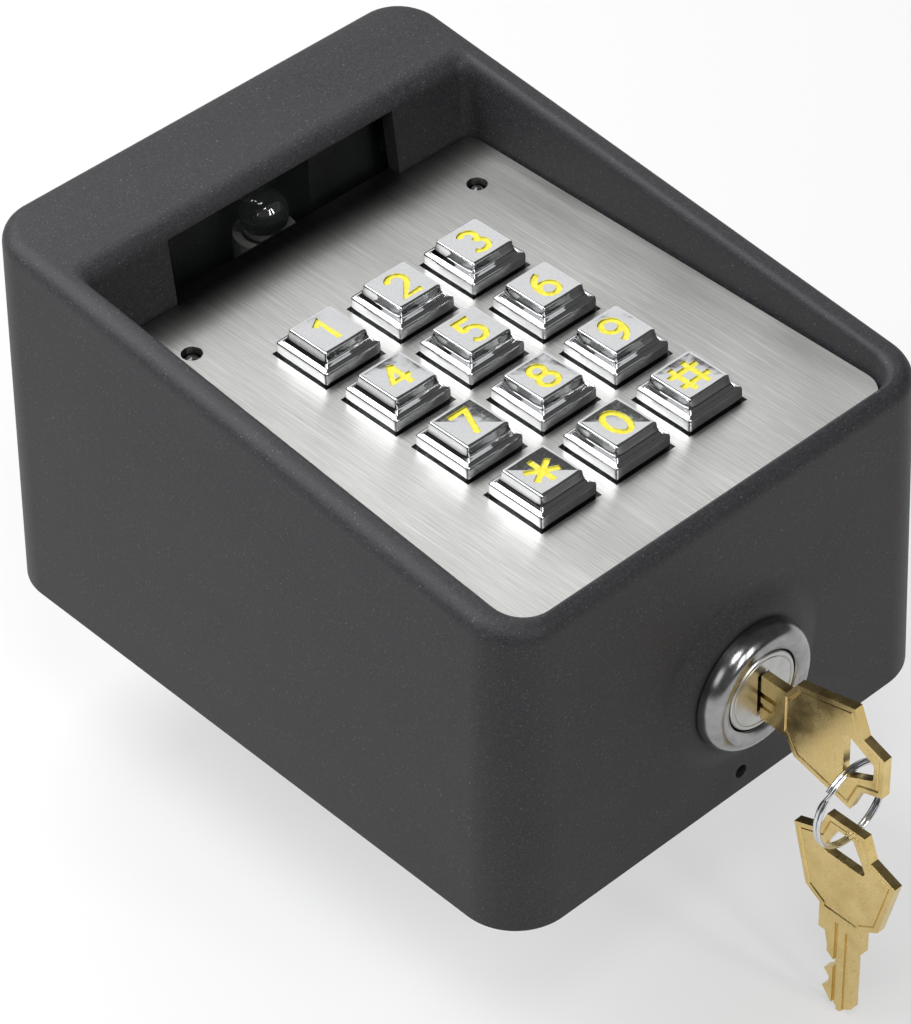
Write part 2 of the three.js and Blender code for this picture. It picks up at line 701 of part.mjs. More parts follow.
function lockCam() {
  const { front, back, halfWidth, reach } = CAM;
  const arm = block(LOCK.x - halfWidth, LOCK.x + halfWidth, front, back, LOCK.z - reach, LOCK.z);
  const hub = turned([[0, front], [7, front], [7, back], [0, back]], 24);
  const square = block(LOCK.x - 2.9, LOCK.x + 2.9, front - 1, back + 1, LOCK.z - 2.9, LOCK.z + 2.9);
  return cut(join(arm, hub), square);
}

function camScrew() {
  return turned([
    [0, CAM.back - 3.6], [1.45, CAM.back - 3.6], [1.45, CAM.back + GAP],
    [4.6, CAM.back + GAP], [4.2, CAM.back + 2.4], [0, CAM.back + 2.4],
  ], 20);
}
addPiece("lock_body", lockBody(), chrome);
addPiece("lock_nut", lockNut(), zincPlate);
addPiece("lock_plug", lockPlug(), zincPlate);
addPiece("lock_cam", lockCam(), zincPlate);
addPiece("cam_screw", camScrew(), zincPlate);

// ---- keys and ring ------------------------------------------------------------------------
// The key lies in a plane: "along" runs from the blade's shoulder to the bow's end, "across" is
// its width. The shoulder is at zero, so the blade is at negative values.
const KEY = {
  bladeLength: 16.2, bladeHalf: 3.4, neckHalf: 5.3, neckLength: 5.6,
  bowNear: 8.7, bowNearAt: 7.6, bowHalf: 12.2, bowHalfAt: 21, humpHalf: 4.3, humpAt: 23.4, humpEnd: 28.2,
  holeEnd: 25.1,
};
const KEY_BITTING = [
  [-3, 2.8], [-4.6, 2.8], [-5.8, 1.2], [-7.6, 1.2], [-9.2, 3.2],
  [-10.4, 2.0], [-12.2, 2.0], [-13.6, 3.4], [-15.4, 1.4],
];

function keyOutline() {
  return [
    [-KEY.bladeLength, 0], [-KEY.bladeLength + 1.6, -KEY.bladeHalf], [0, -KEY.bladeHalf],
    [0, -KEY.neckHalf], [KEY.neckLength, -KEY.neckHalf],
    [KEY.bowNearAt, -KEY.bowNear], [KEY.bowHalfAt, -KEY.bowHalf], [KEY.humpAt, -6.2],
    [KEY.humpEnd, -KEY.humpHalf], [KEY.humpEnd, KEY.humpHalf],
    [KEY.humpAt, 6.2], [KEY.bowHalfAt, KEY.bowHalf], [KEY.bowNearAt, KEY.bowNear],
    [KEY.neckLength, KEY.neckHalf], [0, KEY.neckHalf], [0, KEY.bladeHalf],
    ...KEY_BITTING,
  ];
}

function keyHole() {
  return [[18.8, -4.4], [19.6, -4.9], [KEY.holeEnd, -1.6], [KEY.holeEnd, 1.6], [19.6, 4.9], [18.8, 4.4]];
}

function keyBlank() {
  const geometry = prism(plateShape(keyOutline(), [keyHole()]), -KEY_THICKNESS / 2, KEY_THICKNESS / 2);
  const groove = new THREE.BoxGeometry(KEY.bladeLength + KEY.neckLength + 3, 1.1, 1.2);
  groove.translate(-KEY.bladeLength / 2 + KEY.neckLength / 2, 0.6, KEY_THICKNESS / 2);
  return cut(toSolid(geometry), toSolid(groove));
}

function serviceKey() {
  const geometry = toGeometry(keyBlank());
  const along = new THREE.Vector3(0, -1, 0);
  const across = new THREE.Vector3(0, 0, 1);
  const basis = new THREE.Matrix4().makeBasis(along, across, new THREE.Vector3().crossVectors(along, across));
  geometry.applyMatrix4(basis);
  geometry.translate(LOCK.x, LOCK_FACE - GAP, LOCK.z - 0.6);
  return geometry;
}

// The spare hangs with the far end of its hole just above the ring's lowest wire.
function spareKey() {
  const geometry = toGeometry(keyBlank());
  const along = new THREE.Vector3(0, 0, 1);
  const across = new THREE.Vector3(0, 1, 0);
  const basis = new THREE.Matrix4().makeBasis(along, across, new THREE.Vector3().crossVectors(along, across));
  geometry.applyMatrix4(basis);
  const wire = RING.z - RING.radius;
  geometry.translate(LOCK.x, RING.y, wire + RING.wireR + 1.5 * GAP - KEY.holeEnd);
  return geometry;
}

function splitRing() {
  const section = new THREE.Shape();
  section.absellipse(0, 0, RING.wireR, RING.wireY, 0, Math.PI * 2);
  const points = section.getPoints(8).slice(0, 8);
  const profile = points.map((p) => new THREE.Vector2(RING.radius + p.x, p.y));
  profile.push(profile[0].clone());
  const geometry = new THREE.LatheGeometry(profile, 40);
  geometry.translate(LOCK.x, RING.y, RING.z);
  return toSolid(geometry);
}
addPiece("service_key", serviceKey(), brass);
addPiece("split_ring", splitRing(), chrome);
addPiece("spare_key", spareKey(), brass);

// ---- back plate and what stays on the mounting surface -------------------------------------
function backPlate() {
  const { halfX, halfY, corner, thickness } = BACK;
  const sheet = plateShape(roundedOutline(-halfX, halfX, -halfY, halfY, Array(4).fill(corner), 5));
  let plate = toSolid(prism(sheet, 0, thickness));
  for (const x of [-MOUNT_HOLES.x, MOUNT_HOLES.x]) {
    for (const y of [-MOUNT_HOLES.y, MOUNT_HOLES.y]) {
      plate = cut(plate, pillar(MOUNT_HOLES.radius, x, y, -1, thickness + 1, 20));
    }
  }
  for (const x of [-HOOK.x, HOOK.x]) {
    const { halfWidth, depth, height } = HOOK;
    const hook = block(x - halfWidth, x + halfWidth, halfY - depth, halfY, thickness - 1, thickness + height);
    plate = join(plate, hook);
  }
  return cut(plate, pillar(CABLE_HOLE.radius, CABLE_HOLE.x, CABLE_HOLE.y, -1, thickness + 1, 28));
}

function backGasket() {
  const base = BACK.thickness + GAP;
  const { halfX, near, far, corner, width, thickness } = GASKET;
  const outline = (inset) => roundedOutline(
    -halfX + inset, halfX - inset, near + inset, far - inset, Array(4).fill(corner - inset), 4,
  );
  return toSolid(prism(plateShape(outline(0), [outline(width).reverse()]), base, base + thickness));
}

function cableGrommet() {
  const { x, y, radius } = CABLE_HOLE;
  const base = BACK.thickness;
  const flange = pillar(radius + 3, x, y, base + GAP, base + 2.2, 28);
  const sleeve = pillar(radius - GAP, x, y, 0.3, base + 1, 28);
  return cut(join(flange, sleeve), pillar(radius - 3, x, y, -1, base + 4, 24));
}

function catchBracket() {
  const { lipNear, postX, postOuter, lipBottom, lipTop, near, far, foot, footFar, sheet } = CATCH;
  const base = BACK.thickness + GAP;
  const flange = block(postX - foot, postOuter, near, far + footFar, base, base + sheet);
  const post = block(postX, postOuter, near, far, base, lipTop);
  const lip = block(lipNear, postOuter, near, far, lipBottom, lipTop);
  const bolt = catchBoltPlace();
  return cut(join(flange, post, lip), pillar(1.9, bolt[0], bolt[1], 0, base + 4, 12));
}

function catchBoltPlace() {
  return [CATCH.postX - CATCH.foot / 2, CATCH.far + 0.6];
}

function catchScrew() {
  const [x, y] = catchBoltPlace();
  const seat = BACK.thickness + GAP + CATCH.sheet + GAP;
  return join(pillar(3, x, y, seat, seat + 2, 14), pillar(1.4, x, y, BACK.thickness + GAP, seat + 1, 10));
}
addPiece("back_plate", backPlate(), zincPlate);
addPiece("back_gasket", backGasket(), blackRubber);
addPiece("cable_grommet", cableGrommet(), blackRubber);
addPiece("catch_bracket", catchBracket(), zincPlate);
addPiece("catch_screw", catchScrew(), zincPlate);

export default reader;
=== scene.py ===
# Keypad access reader: the looks of its pieces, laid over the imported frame. Metres, +Z out of the keypad.
from math import atan, copysign, cos, pi, radians, sin

import bmesh
import bpy
from mathutils import Matrix, Vector


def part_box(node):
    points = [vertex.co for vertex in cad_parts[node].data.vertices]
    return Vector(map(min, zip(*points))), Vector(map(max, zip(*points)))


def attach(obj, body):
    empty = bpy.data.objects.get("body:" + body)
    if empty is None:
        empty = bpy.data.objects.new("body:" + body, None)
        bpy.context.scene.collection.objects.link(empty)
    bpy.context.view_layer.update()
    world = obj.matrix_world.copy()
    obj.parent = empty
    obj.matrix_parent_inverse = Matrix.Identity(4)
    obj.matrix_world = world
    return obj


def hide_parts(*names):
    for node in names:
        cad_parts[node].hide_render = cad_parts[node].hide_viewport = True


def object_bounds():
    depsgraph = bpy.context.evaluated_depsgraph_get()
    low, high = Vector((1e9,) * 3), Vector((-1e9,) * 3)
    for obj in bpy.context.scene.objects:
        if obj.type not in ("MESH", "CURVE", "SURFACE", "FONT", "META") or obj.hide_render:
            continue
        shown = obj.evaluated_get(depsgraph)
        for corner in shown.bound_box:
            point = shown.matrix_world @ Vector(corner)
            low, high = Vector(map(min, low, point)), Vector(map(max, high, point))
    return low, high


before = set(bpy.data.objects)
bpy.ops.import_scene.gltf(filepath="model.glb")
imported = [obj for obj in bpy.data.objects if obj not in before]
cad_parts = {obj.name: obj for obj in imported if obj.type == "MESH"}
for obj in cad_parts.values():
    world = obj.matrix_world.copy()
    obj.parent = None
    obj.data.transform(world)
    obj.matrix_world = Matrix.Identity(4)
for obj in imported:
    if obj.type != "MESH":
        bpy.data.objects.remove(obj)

cad_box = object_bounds()
MM = 0.001

# ---- camera, soft light and floor ----------------------------------------------------------
# A long lens looks down on the lock end from the left. Two softboxes stand on the left, two strips
# in front and three softboxes behind. The gaps between them give the chrome its dark patches,
# and the pale floor fills the brass from below.
CAMERA_TURN = radians(-42.48)
CAMERA_RISE = radians(41.61)
CAMERA_ROLL = radians(-1.48)
CAMERA_DISTANCE = 0.79454
CAMERA_ASIDE = (-0.00088, 0.01689)
LENS_LENGTH = 157.36
FLOOR_GAP = 0.0015
FLOOR_SIZE = 4.0


def toward(turn, rise):
    """The direction from the reader to a place at that turn about Z and rise above the floor."""
    return Vector((sin(turn) * cos(rise), -cos(turn) * cos(rise), sin(rise)))


back = toward(CAMERA_TURN, CAMERA_RISE)
level = Vector((cos(CAMERA_TURN), sin(CAMERA_TURN), 0))
upright = back.cross(level)
right = cos(CAMERA_ROLL) * level + sin(CAMERA_ROLL) * upright
above = -sin(CAMERA_ROLL) * level + cos(CAMERA_ROLL) * upright
place = back * CAMERA_DISTANCE + right * CAMERA_ASIDE[0] + above * CAMERA_ASIDE[1]
camera = bpy.data.objects.new("camera", bpy.data.cameras.new("camera"))
camera.matrix_world = Matrix((right, above, back)).transposed().to_4x4()
camera.location = place
camera.data.lens = LENS_LENGTH
camera.data.clip_start = 0.01
bpy.context.scene.collection.objects.link(camera)
bpy.context.scene.camera = camera
bpy.context.scene.view_settings.view_transform = "Standard"


def softbox(name, turn, rise, distance, width, height, power):
    """A rectangular soft light that faces the reader."""
    light = bpy.data.lights.new(name, "AREA")
    light.shape = "RECTANGLE"
    light.size = width
    light.size_y = height
    light.energy = power
    stand = bpy.data.objects.new(name, light)
    direction = toward(radians(turn), radians(rise))
    stand.location = direction * distance
    stand.rotation_euler = direction.to_track_quat("Z", "Y").to_euler()
    bpy.context.scene.collection.objects.link(stand)


softbox("softbox_left", -84, 34, 1.0, 0.4, 0.4, 0.8)
softbox("softbox_front_left", -38, 62, 0.9, 0.22, 0.22, 1.5)
softbox("strip_left", -8, 34, 1.0, 0.11, 0.42, 1.5)
softbox("strip_right", 9, 34, 1.0, 0.11, 0.42, 1.5)
softbox("softbox_back_left", -137, 40, 1.0, 0.7, 0.6, 6.0)
softbox("softbox_low_behind", 137, 27.5, 1.0, 1.3, 0.62, 2.3)
softbox("softbox_high_behind", -168, 64, 1.0, 0.9, 0.5, 8.5)

world = bpy.data.worlds.new("studio")
world.use_nodes = True
sky = world.node_tree.nodes["Background"]
sky.inputs["Color"].default_value = (1.0, 1.0, 1.0, 1)
sky.inputs["Strength"].default_value = 0.09
bpy.context.scene.world = world

floor_bm = bmesh.new()
bmesh.ops.create_grid(floor_bm, x_segments=1, y_segments=1, size=FLOOR_SIZE)
bmesh.ops.translate(floor_bm, vec=(0, 0, cad_box[0].z - FLOOR_GAP), verts=floor_bm.verts)
floor_mesh = bpy.data.meshes.new("floor")
floor_bm.to_mesh(floor_mesh)
floor_bm.free()
floor = bpy.data.objects.new("floor", floor_mesh)
bpy.context.scene.collection.objects.link(floor)
paper = bpy.data.materials.new("floor_paper")
paper.use_nodes = True
paper_shader = paper.node_tree.nodes["Principled BSDF"]
paper_shader.inputs["Base Color"].default_value = (0.32, 0.32, 0.32, 1)
paper_shader.inputs["Roughness"].default_value = 0.9
paper_shader.inputs["Emission Color"].default_value = (1, 1, 1, 1)
paper_shader.inputs["Emission Strength"].default_value = 0.5
floor_mesh.materials.append(paper)

# ---- housing -------------------------------------------------------------------------------
# One die casting with a sloped rim, a deep pocket for the keypad and a hood with a window slot.
# It is bare aluminium inside and out under a fine charcoal powder coat, baked on after casting.
WIDTH, LENGTH = 101.6, 132.7
DRAFT = 0.0246
OUTER_CORNER = 11.1
RIM_FILLET = 3.0
RIM_MIDDLE, RIM_SLOPE = 71.3, 0.0992
WALL = 3.4
GAP = 0.3
PLATE_HEIGHT, PLATE_SLOPE, PLATE_THICKNESS = 60.98, -0.0109, 1.5
POCKET_SIDE, POCKET_NEAR, POCKET_FAR = 42.8, -61.2, 41.0
POCKET_LEAN = {"side": 0.105, "near": 0.04, "far": 0.134}
LIP_ROUND, BROW_ROUND = 1.4, 3.4
WINDOW_SIDE, WINDOW_TOP = 25.9, 73.2
LEDGE_SIDE, LEDGE_NEAR, LEDGE_FAR, LEDGE_THICKNESS = 39.2, -57.6, 37.6, 3.2
HOOD_SIDE, HOOD_ROOF, HOOD_FRONT = 44.8, 2.2, 44.2
POST_X, POST_ENDS = 41.2, (-38.5, 51.0)
POST_RADIUS, POST_RIB = 3.6, 5.4
LOCK_X, LOCK_Z = 2.6, 26.0
BOSS_PROUD = 1.5
BARREL_RADIUS = 9.3
WEEP_Z, WEEP_RADIUS = 4.2, 1.3


def rim(y):
    return RIM_MIDDLE + RIM_SLOPE * y


def rounded_sheet(x0, x1, y0, y1, radii, segments=14):
    """A flat face with rounded corners, named from the right far one leftwards round."""
    bm = bmesh.new()
    corners = [bm.verts.new((x, y, 0)) for x, y in ((x1, y1), (x0, y1), (x0, y0), (x1, y0))]
    bm.faces.new(corners)
    for corner, radius in zip(corners, radii):
        bmesh.ops.bevel(
            bm, geom=[corner], offset=radius, offset_type="OFFSET", segments=segments,
            profile=0.5, affect="VERTICES", material=-1,
        )
    return bm


def draw_up(bm, top, move):
    """Extrudes a face, moves its corners and returns it; a lone face leaves its copy below."""
    inside = len(top.edges[0].link_faces) > 1
    grown = bmesh.ops.extrude_face_region(bm, geom=[top])["geom"]
    if inside:
        bmesh.ops.delete(bm, geom=[top], context="FACES_ONLY")
    for part in grown:
        if isinstance(part, bmesh.types.BMVert):
            part.co = move(part.co)
    return next(part for part in grown if isinstance(part, bmesh.types.BMFace))


def only_face(bm):
    bm.faces.ensure_lookup_table()
    return bm.faces[0]


def outward(bm):
    bmesh.ops.recalc_face_normals(bm, faces=bm.faces)
    return bm


def block(x0, x1, y0, y1, z0, z1):
    bm = bmesh.new()
    bmesh.ops.create_cube(bm, size=1)
    bmesh.ops.scale(bm, vec=(x1 - x0, y1 - y0, z1 - z0), verts=bm.verts)
    bmesh.ops.translate(bm, vec=((x0 + x1) / 2, (y0 + y1) / 2, (z0 + z1) / 2), verts=bm.verts)
    return bm


def pillar(radius, x, y, z0, z1, sides=40):
    bm = bmesh.new()
    bmesh.ops.create_cone(
        bm, cap_ends=True, segments=sides, radius1=radius, radius2=radius, depth=z1 - z0,
    )
    bmesh.ops.translate(bm, vec=(x, y, (z0 + z1) / 2), verts=bm.verts)
    return bm


def bar(radius, y0, y1, x=LOCK_X, z=LOCK_Z, sides=48):
    """A round bar along Y, by default on the lock's axis."""
    bm = pillar(radius, 0, 0, -(y1 - y0) / 2, (y1 - y0) / 2, sides)
    bmesh.ops.rotate(bm, cent=(0, 0, 0), matrix=Matrix.Rotation(pi / 2, 3, "X"), verts=bm.verts)
    bmesh.ops.translate(bm, vec=(x, (y0 + y1) / 2, z), verts=bm.verts)
    return bm


def loose_object(bm):
    mesh = bpy.data.meshes.new("blank")
    bm.to_mesh(mesh)
    bm.free()
    blank = bpy.data.objects.new("blank", mesh)
    bpy.context.scene.collection.objects.link(blank)
    return blank


def combine(body, tools, operation):
    """Cuts the tools from a body, or joins them to it, and returns the new bmesh."""
    blank = loose_object(body)
    spares = [loose_object(tool) for tool in tools]
    for spare in spares:
        step = blank.modifiers.new(operation, "BOOLEAN")
        step.operation = operation
        step.solver = "EXACT"
        step.object = spare
    bpy.context.view_layer.update()
    shaped = blank.evaluated_get(bpy.context.evaluated_depsgraph_get())
    result = bmesh.new()
    result.from_mesh(shaped.to_mesh())
    shaped.to_mesh_clear()
    for leftover in (blank, *spares):
        mesh = leftover.data
        bpy.data.objects.remove(leftover)
        bpy.data.meshes.remove(mesh)
    bmesh.ops.remove_doubles(result, verts=result.verts, dist=1e-5)
    return result


def inward(co, amount, z):
    """Moves a point of the casting's outline in from its face, or towards its corner's middle."""
    middle_x, middle_y = WIDTH / 2 - OUTER_CORNER, LENGTH / 2 - OUTER_CORNER
    out = Vector((max(abs(co.x) - middle_x, 0), max(abs(co.y) - middle_y, 0))).normalized() * amount
    return Vector((co.x - copysign(out.x, co.x), co.y - copysign(out.y, co.y), z))


def outer_casting():
    half_x, half_y = WIDTH / 2, LENGTH / 2
    bm = rounded_sheet(-half_x, half_x, -half_y, half_y, [OUTER_CORNER] * 4, 20)
    top = only_face(bm)
    steps = 8
    for step in range(steps + 1):
        angle = step / steps * pi / 2
        before = max(step - 1, 0) / steps * pi / 2
        drop = RIM_FILLET * (1 - sin(angle))
        draft = 0 if step else DRAFT
        top = draw_up(bm, top, lambda co: inward(
            co, RIM_FILLET * (cos(before) - cos(angle)) + draft * rim(co.y), rim(co.y) - drop,
        ))
    return outward(bm)


def span(bm, top, half, near, far, height):
    """Extrudes a face so that it spans new extents, at a height that depends on y."""
    old_half = max(v.co.x for v in top.verts)
    old_near = min(v.co.y for v in top.verts)
    old_far = max(v.co.y for v in top.verts)

    def move(co):
        y = near + (co.y - old_near) / (old_far - old_near) * (far - near)
        return Vector((co.x * half / old_half, y, height(y)))

    return draw_up(bm, top, move)


def pocket_core():
    floor_z = PLATE_HEIGHT - PLATE_THICKNESS - GAP
    bm = rounded_sheet(-POCKET_SIDE, POCKET_SIDE, POCKET_NEAR, POCKET_FAR, [2.5, 2.5, 6, 6], 10)
    for corner in bm.verts:
        corner.co.z = floor_z + PLATE_SLOPE * corner.co.y
    rise = RIM_MIDDLE - LIP_ROUND - PLATE_HEIGHT
    side = POCKET_SIDE + POCKET_LEAN["side"] * rise
    near = POCKET_NEAR - POCKET_LEAN["near"] * (rise - 6)
    far = POCKET_FAR + POCKET_LEAN["far"] * (rise + 3)
    top = only_face(bm)
    steps = 8
    for step in range(steps + 1):
        angle = step / steps * pi / 2
        flare = 1 - cos(angle)

        def height(y):
            hood = min(max((y - POCKET_FAR + 5) / 6, 0), 1)
            radius = LIP_ROUND + (BROW_ROUND - LIP_ROUND) * hood * hood * (3 - 2 * hood)
            return rim(y) - radius * (1 - sin(angle))

        top = span(
            bm, top, side + flare * LIP_ROUND, near - flare * LIP_ROUND, far + flare * BROW_ROUND, height,
        )
    draw_up(bm, top, lambda co: co + Vector((0, 0, 6)))
    return outward(bm)


def cavity_core():
    half_x, half_y = WIDTH / 2 - WALL, LENGTH / 2 - WALL
    bm = rounded_sheet(-half_x, half_x, -half_y, half_y, [OUTER_CORNER - WALL] * 4, 12)
    for corner in bm.verts:
        corner.co.z = -1
    ceiling = PLATE_HEIGHT - PLATE_THICKNESS - GAP - LEDGE_THICKNESS
    lean = DRAFT * ceiling
    span(
        bm, only_face(bm), half_x - lean, -half_y + lean, half_y - lean,
        lambda y: ceiling + PLATE_SLOPE * y,
    )
    return outward(bm)


def hood_core():
    low, lean = 50, POCKET_LEAN["far"]
    front = HOOD_FRONT + lean * (low - PLATE_HEIGHT)
    back = LENGTH / 2 - WALL - DRAFT * low
    bm = rounded_sheet(-HOOD_SIDE, HOOD_SIDE, front, back, [5, 5, 1, 1], 8)
    for corner in bm.verts:
        corner.co.z = low
    front = HOOD_FRONT + lean * (rim(HOOD_FRONT) - HOOD_ROOF - PLATE_HEIGHT)
    back = LENGTH / 2 - WALL - DRAFT * rim(back)
    span(bm, only_face(bm), HOOD_SIDE, front, back, lambda y: rim(y) - HOOD_ROOF)
    return outward(bm)


def lock_boss():
    """The low round pad that the lock sits on, which flows into the wall."""
    inner, outer, proud = 13.0, 18.4, BOSS_PROUD
    steps = 12
    points = [(0, proud), (inner, proud)]
    for step in range(1, steps + 1):
        share = step / steps
        height = proud * (0.5 + 0.5 * cos(pi * share)) - 0.03 * share
        points.append((inner + (outer - inner) * share, height))
    points += [(outer, -1.2), (0, -1.2)]
    bm = spun(points, 72, Vector((LOCK_X, -LENGTH / 2 + DRAFT * LOCK_Z, LOCK_Z)))
    for v in bm.verts:
        radius = Vector((v.co.x - LOCK_X, v.co.z - LOCK_Z)).length
        v.co.y += DRAFT * (v.co.z - LOCK_Z) * min(max((radius - inner) / (outer - inner), 0), 1)
    return bm


def revolved(points, steps):
    """Turns a profile of (radius, height) about Z."""
    bm = bmesh.new()
    corners = [bm.verts.new((radius, 0, height)) for radius, height in points]
    edges = [bm.edges.new(pair) for pair in zip(corners, corners[1:])]
    bmesh.ops.spin(
        bm, geom=corners + edges, cent=(0, 0, 0), axis=(0, 0, 1), angle=2 * pi, steps=steps,
        use_merge=True, use_duplicate=False,
    )
    bmesh.ops.remove_doubles(bm, verts=bm.verts, dist=1e-4)
    return bm


def spun(points, steps, centre):
    """Turns a profile of (radius, height out of the lock face) about an axis along -Y."""
    bm = revolved(points, steps)
    bmesh.ops.rotate(bm, cent=(0, 0, 0), matrix=Matrix.Rotation(pi / 2, 3, "X"), verts=bm.verts)
    bmesh.ops.translate(bm, vec=centre, verts=bm.verts)
    return outward(bm)


def board_posts():
    posts = []
    for x in (-POST_X, POST_X):
        for y in POST_ENDS:
            wall = x + copysign(POST_RIB, x)
            posts.append(pillar(POST_RADIUS, x, y, 39.9, 57.5, 28))
            posts.append(block(min(x, wall), max(x, wall), y - 1.4, y + 1.4, 42.6, 57.4))
    return posts


def casting():
    body = combine(outer_casting(), [lock_boss()], "UNION")
    face = -LENGTH / 2
    body = combine(body, [
        cavity_core(),
        hood_core(),
        pocket_core(),
        block(-LEDGE_SIDE, LEDGE_SIDE, LEDGE_NEAR, LEDGE_FAR, 45, 62),
        block(-WINDOW_SIDE, WINDOW_SIDE, LEDGE_FAR - 1, 47.6, 50, WINDOW_TOP),
        bar(BARREL_RADIUS + GAP, face - 6, face + 8),
        bar(WEEP_RADIUS, face - 6, face + 6, LOCK_X, WEEP_Z, 32),
    ], "DIFFERENCE")
    return combine(body, board_posts(), "UNION")


def lay_out(name, bm, finish, body, slot, *stood_for, sharp=32, ridge=None):
    """Brings a piece from millimetres to metres, smooths it and ties it to its CAD body."""
    bmesh.ops.scale(bm, vec=(MM, MM, MM), verts=bm.verts)
    mesh = bpy.data.meshes.new(name)
    bm.to_mesh(mesh)
    bm.free()
    for face in mesh.polygons:
        face.use_smooth = True
    mesh.set_sharp_from_angle(angle=radians(sharp))
    mesh.materials.append(finish)
    piece = bpy.data.objects.new(name, mesh)
    bpy.context.scene.collection.objects.link(piece)
    if ridge:
        edge = piece.modifiers.new("broken_edge", "BEVEL")
        edge.width = ridge * MM
        edge.segments = 3
        edge.limit_method = "ANGLE"
        edge.angle_limit = radians(sharp)
        edge.harden_normals = True
    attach(piece, body)
    if stood_for:
        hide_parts(*stood_for)
    return piece


def start_finish(name, **settings):
    """A material whose constant settings sit on its shader's own sockets."""
    material = bpy.data.materials.new(name)
    material.use_nodes = True
    shader = material.node_tree.nodes["Principled BSDF"]
    for key, value in settings.items():
        shader.inputs[key.replace("_", " ")].default_value = value
    return material


def grain(material, size_x, size_y=None, size_z=None, detail=3.0, roughness=0.55):
    """Noise in the piece's own space, with cells of these sizes in millimetres."""
    nodes, links = material.node_tree.nodes, material.node_tree.links
    place_node = nodes.new("ShaderNodeTexCoord")
    mapping = nodes.new("ShaderNodeMapping")
    sizes = (size_x, size_y or size_x, size_z or size_y or size_x)
    mapping.inputs["Scale"].default_value = [1 / (size * MM) for size in sizes]
    noise = nodes.new("ShaderNodeTexNoise")
    noise.inputs["Scale"].default_value = 1.0
    noise.inputs["Detail"].default_value = detail
    noise.inputs["Roughness"].default_value = roughness
    links.new(place_node.outputs["Object"], mapping.inputs["Vector"])
    links.new(mapping.outputs["Vector"], noise.inputs["Vector"])
    return noise.outputs[0]


def ramp(material, source, start, end, low, high):
    """Maps a stretch of a pattern to a range of values."""
    node = material.node_tree.nodes.new("ShaderNodeMapRange")
    for key, value in (("From Min", start), ("From Max", end), ("To Min", low), ("To Max", high)):
        node.inputs[key].default_value = value
    material.node_tree.links.new(source, node.inputs["Value"])
    return node.outputs["Result"]


def tint(material, factor, first, second):
    """Blends two colours by a pattern; either may be another pattern's colour."""
    node = material.node_tree.nodes.new("ShaderNodeMix")
    node.data_type = "RGBA"
    for index, colour in ((6, first), (7, second)):
        if isinstance(colour, tuple):
            node.inputs[index].default_value = (*colour, 1)
        else:
            material.node_tree.links.new(colour, node.inputs[index])
    material.node_tree.links.new(factor, node.inputs[0])
    return node.outputs[2]


def feed(material, socket, source):
    shader = material.node_tree.nodes["Principled BSDF"]
    material.node_tree.links.new(source, shader.inputs[socket])


def relief(material, height, depth, strength=1.0, under=None):
    """Raises a pattern by a depth in millimetres, over an earlier relief if there is one."""
    node = material.node_tree.nodes.new("ShaderNodeBump")
    node.inputs["Distance"].default_value = depth * MM
    node.inputs["Strength"].default_value = strength
    material.node_tree.links.new(height, node.inputs["Height"])
    if under:
        material.node_tree.links.new(under, node.inputs["Normal"])
    return node.outputs["Normal"]


def charcoal_powder_coat():
    coat = start_finish("charcoal_powder_coat", Metallic=0.0, Specular_IOR_Level=0.28)
    cloud = grain(coat, 14, detail=2)
    pebble = grain(coat, 0.42, detail=2, roughness=0.6)
    # Painted glints: sparse light specks mixed into the coat's colour stand in for highlights off its fine
    # texture.
    painted_glint_grain = grain(coat, 0.3, detail=1)
    base = tint(coat, ramp(coat, cloud, 0.3, 0.7, 0, 1), (0.016, 0.016, 0.018), (0.0205, 0.020, 0.0225))
    mottled = tint(coat, ramp(coat, pebble, 0.35, 0.7, 0, 1), base, (0.037, 0.037, 0.040))
    with_painted_glints = tint(coat, ramp(coat, painted_glint_grain, 0.68, 0.76, 0, 0.8), mottled, (0.14, 0.14, 0.145))
    feed(coat, "Base Color", with_painted_glints)
    feed(coat, "Roughness", ramp(coat, pebble, 0.3, 0.7, 0.46, 0.62))
    feed(coat, "Normal", relief(coat, pebble, 0.06, 0.6))
    return coat


powder_coat = charcoal_powder_coat()
lay_out("housing_casting", casting(), powder_coat, "cover", "powder_coat", "housing")

# ---- faceplate -----------------------------------------------------------------------------
# A 1.5 mm stainless sheet, punched for twelve buttons and two lamps, brushed along its length.
# Four threaded studs welded to its back hold the whole keypad.
PLATE_CLEARANCE = 0.35
TAB_SIDE, TAB_END = 25.5, 43.6
PITCH_X, PITCH_Y, GRID_CENTRE = 16.95, 17.13, -13.09
CUTOUT = 13.6
LAMP_HOLE_X, LAMP_HOLE_Y, LAMP_HOLE = 33.2, 29.1, 1.9
STUD_X, STUD_Y, STUD_RADIUS, STUD_LENGTH = 29.6, 33.0, 1.5, 12.4
LEGENDS = ("1", "2", "3", "4", "5", "6", "7", "8", "9", "star", "0", "hash")


def button_places():
    for index, legend in enumerate(LEGENDS):
        column, row = index % 3, index // 3
        yield legend, (column - 1) * PITCH_X, GRID_CENTRE + (1.5 - row) * PITCH_Y


def lay_on_deck(bm):
    """Tips a piece that was made flat on z = 0 to the faceplate's slope and height."""
    tip = Matrix.Rotation(atan(PLATE_SLOPE), 3, "X")
    bmesh.ops.rotate(bm, cent=(0, 0, 0), matrix=tip, verts=bm.verts)
    bmesh.ops.translate(bm, vec=(0, 0, PLATE_HEIGHT), verts=bm.verts)
    return bm


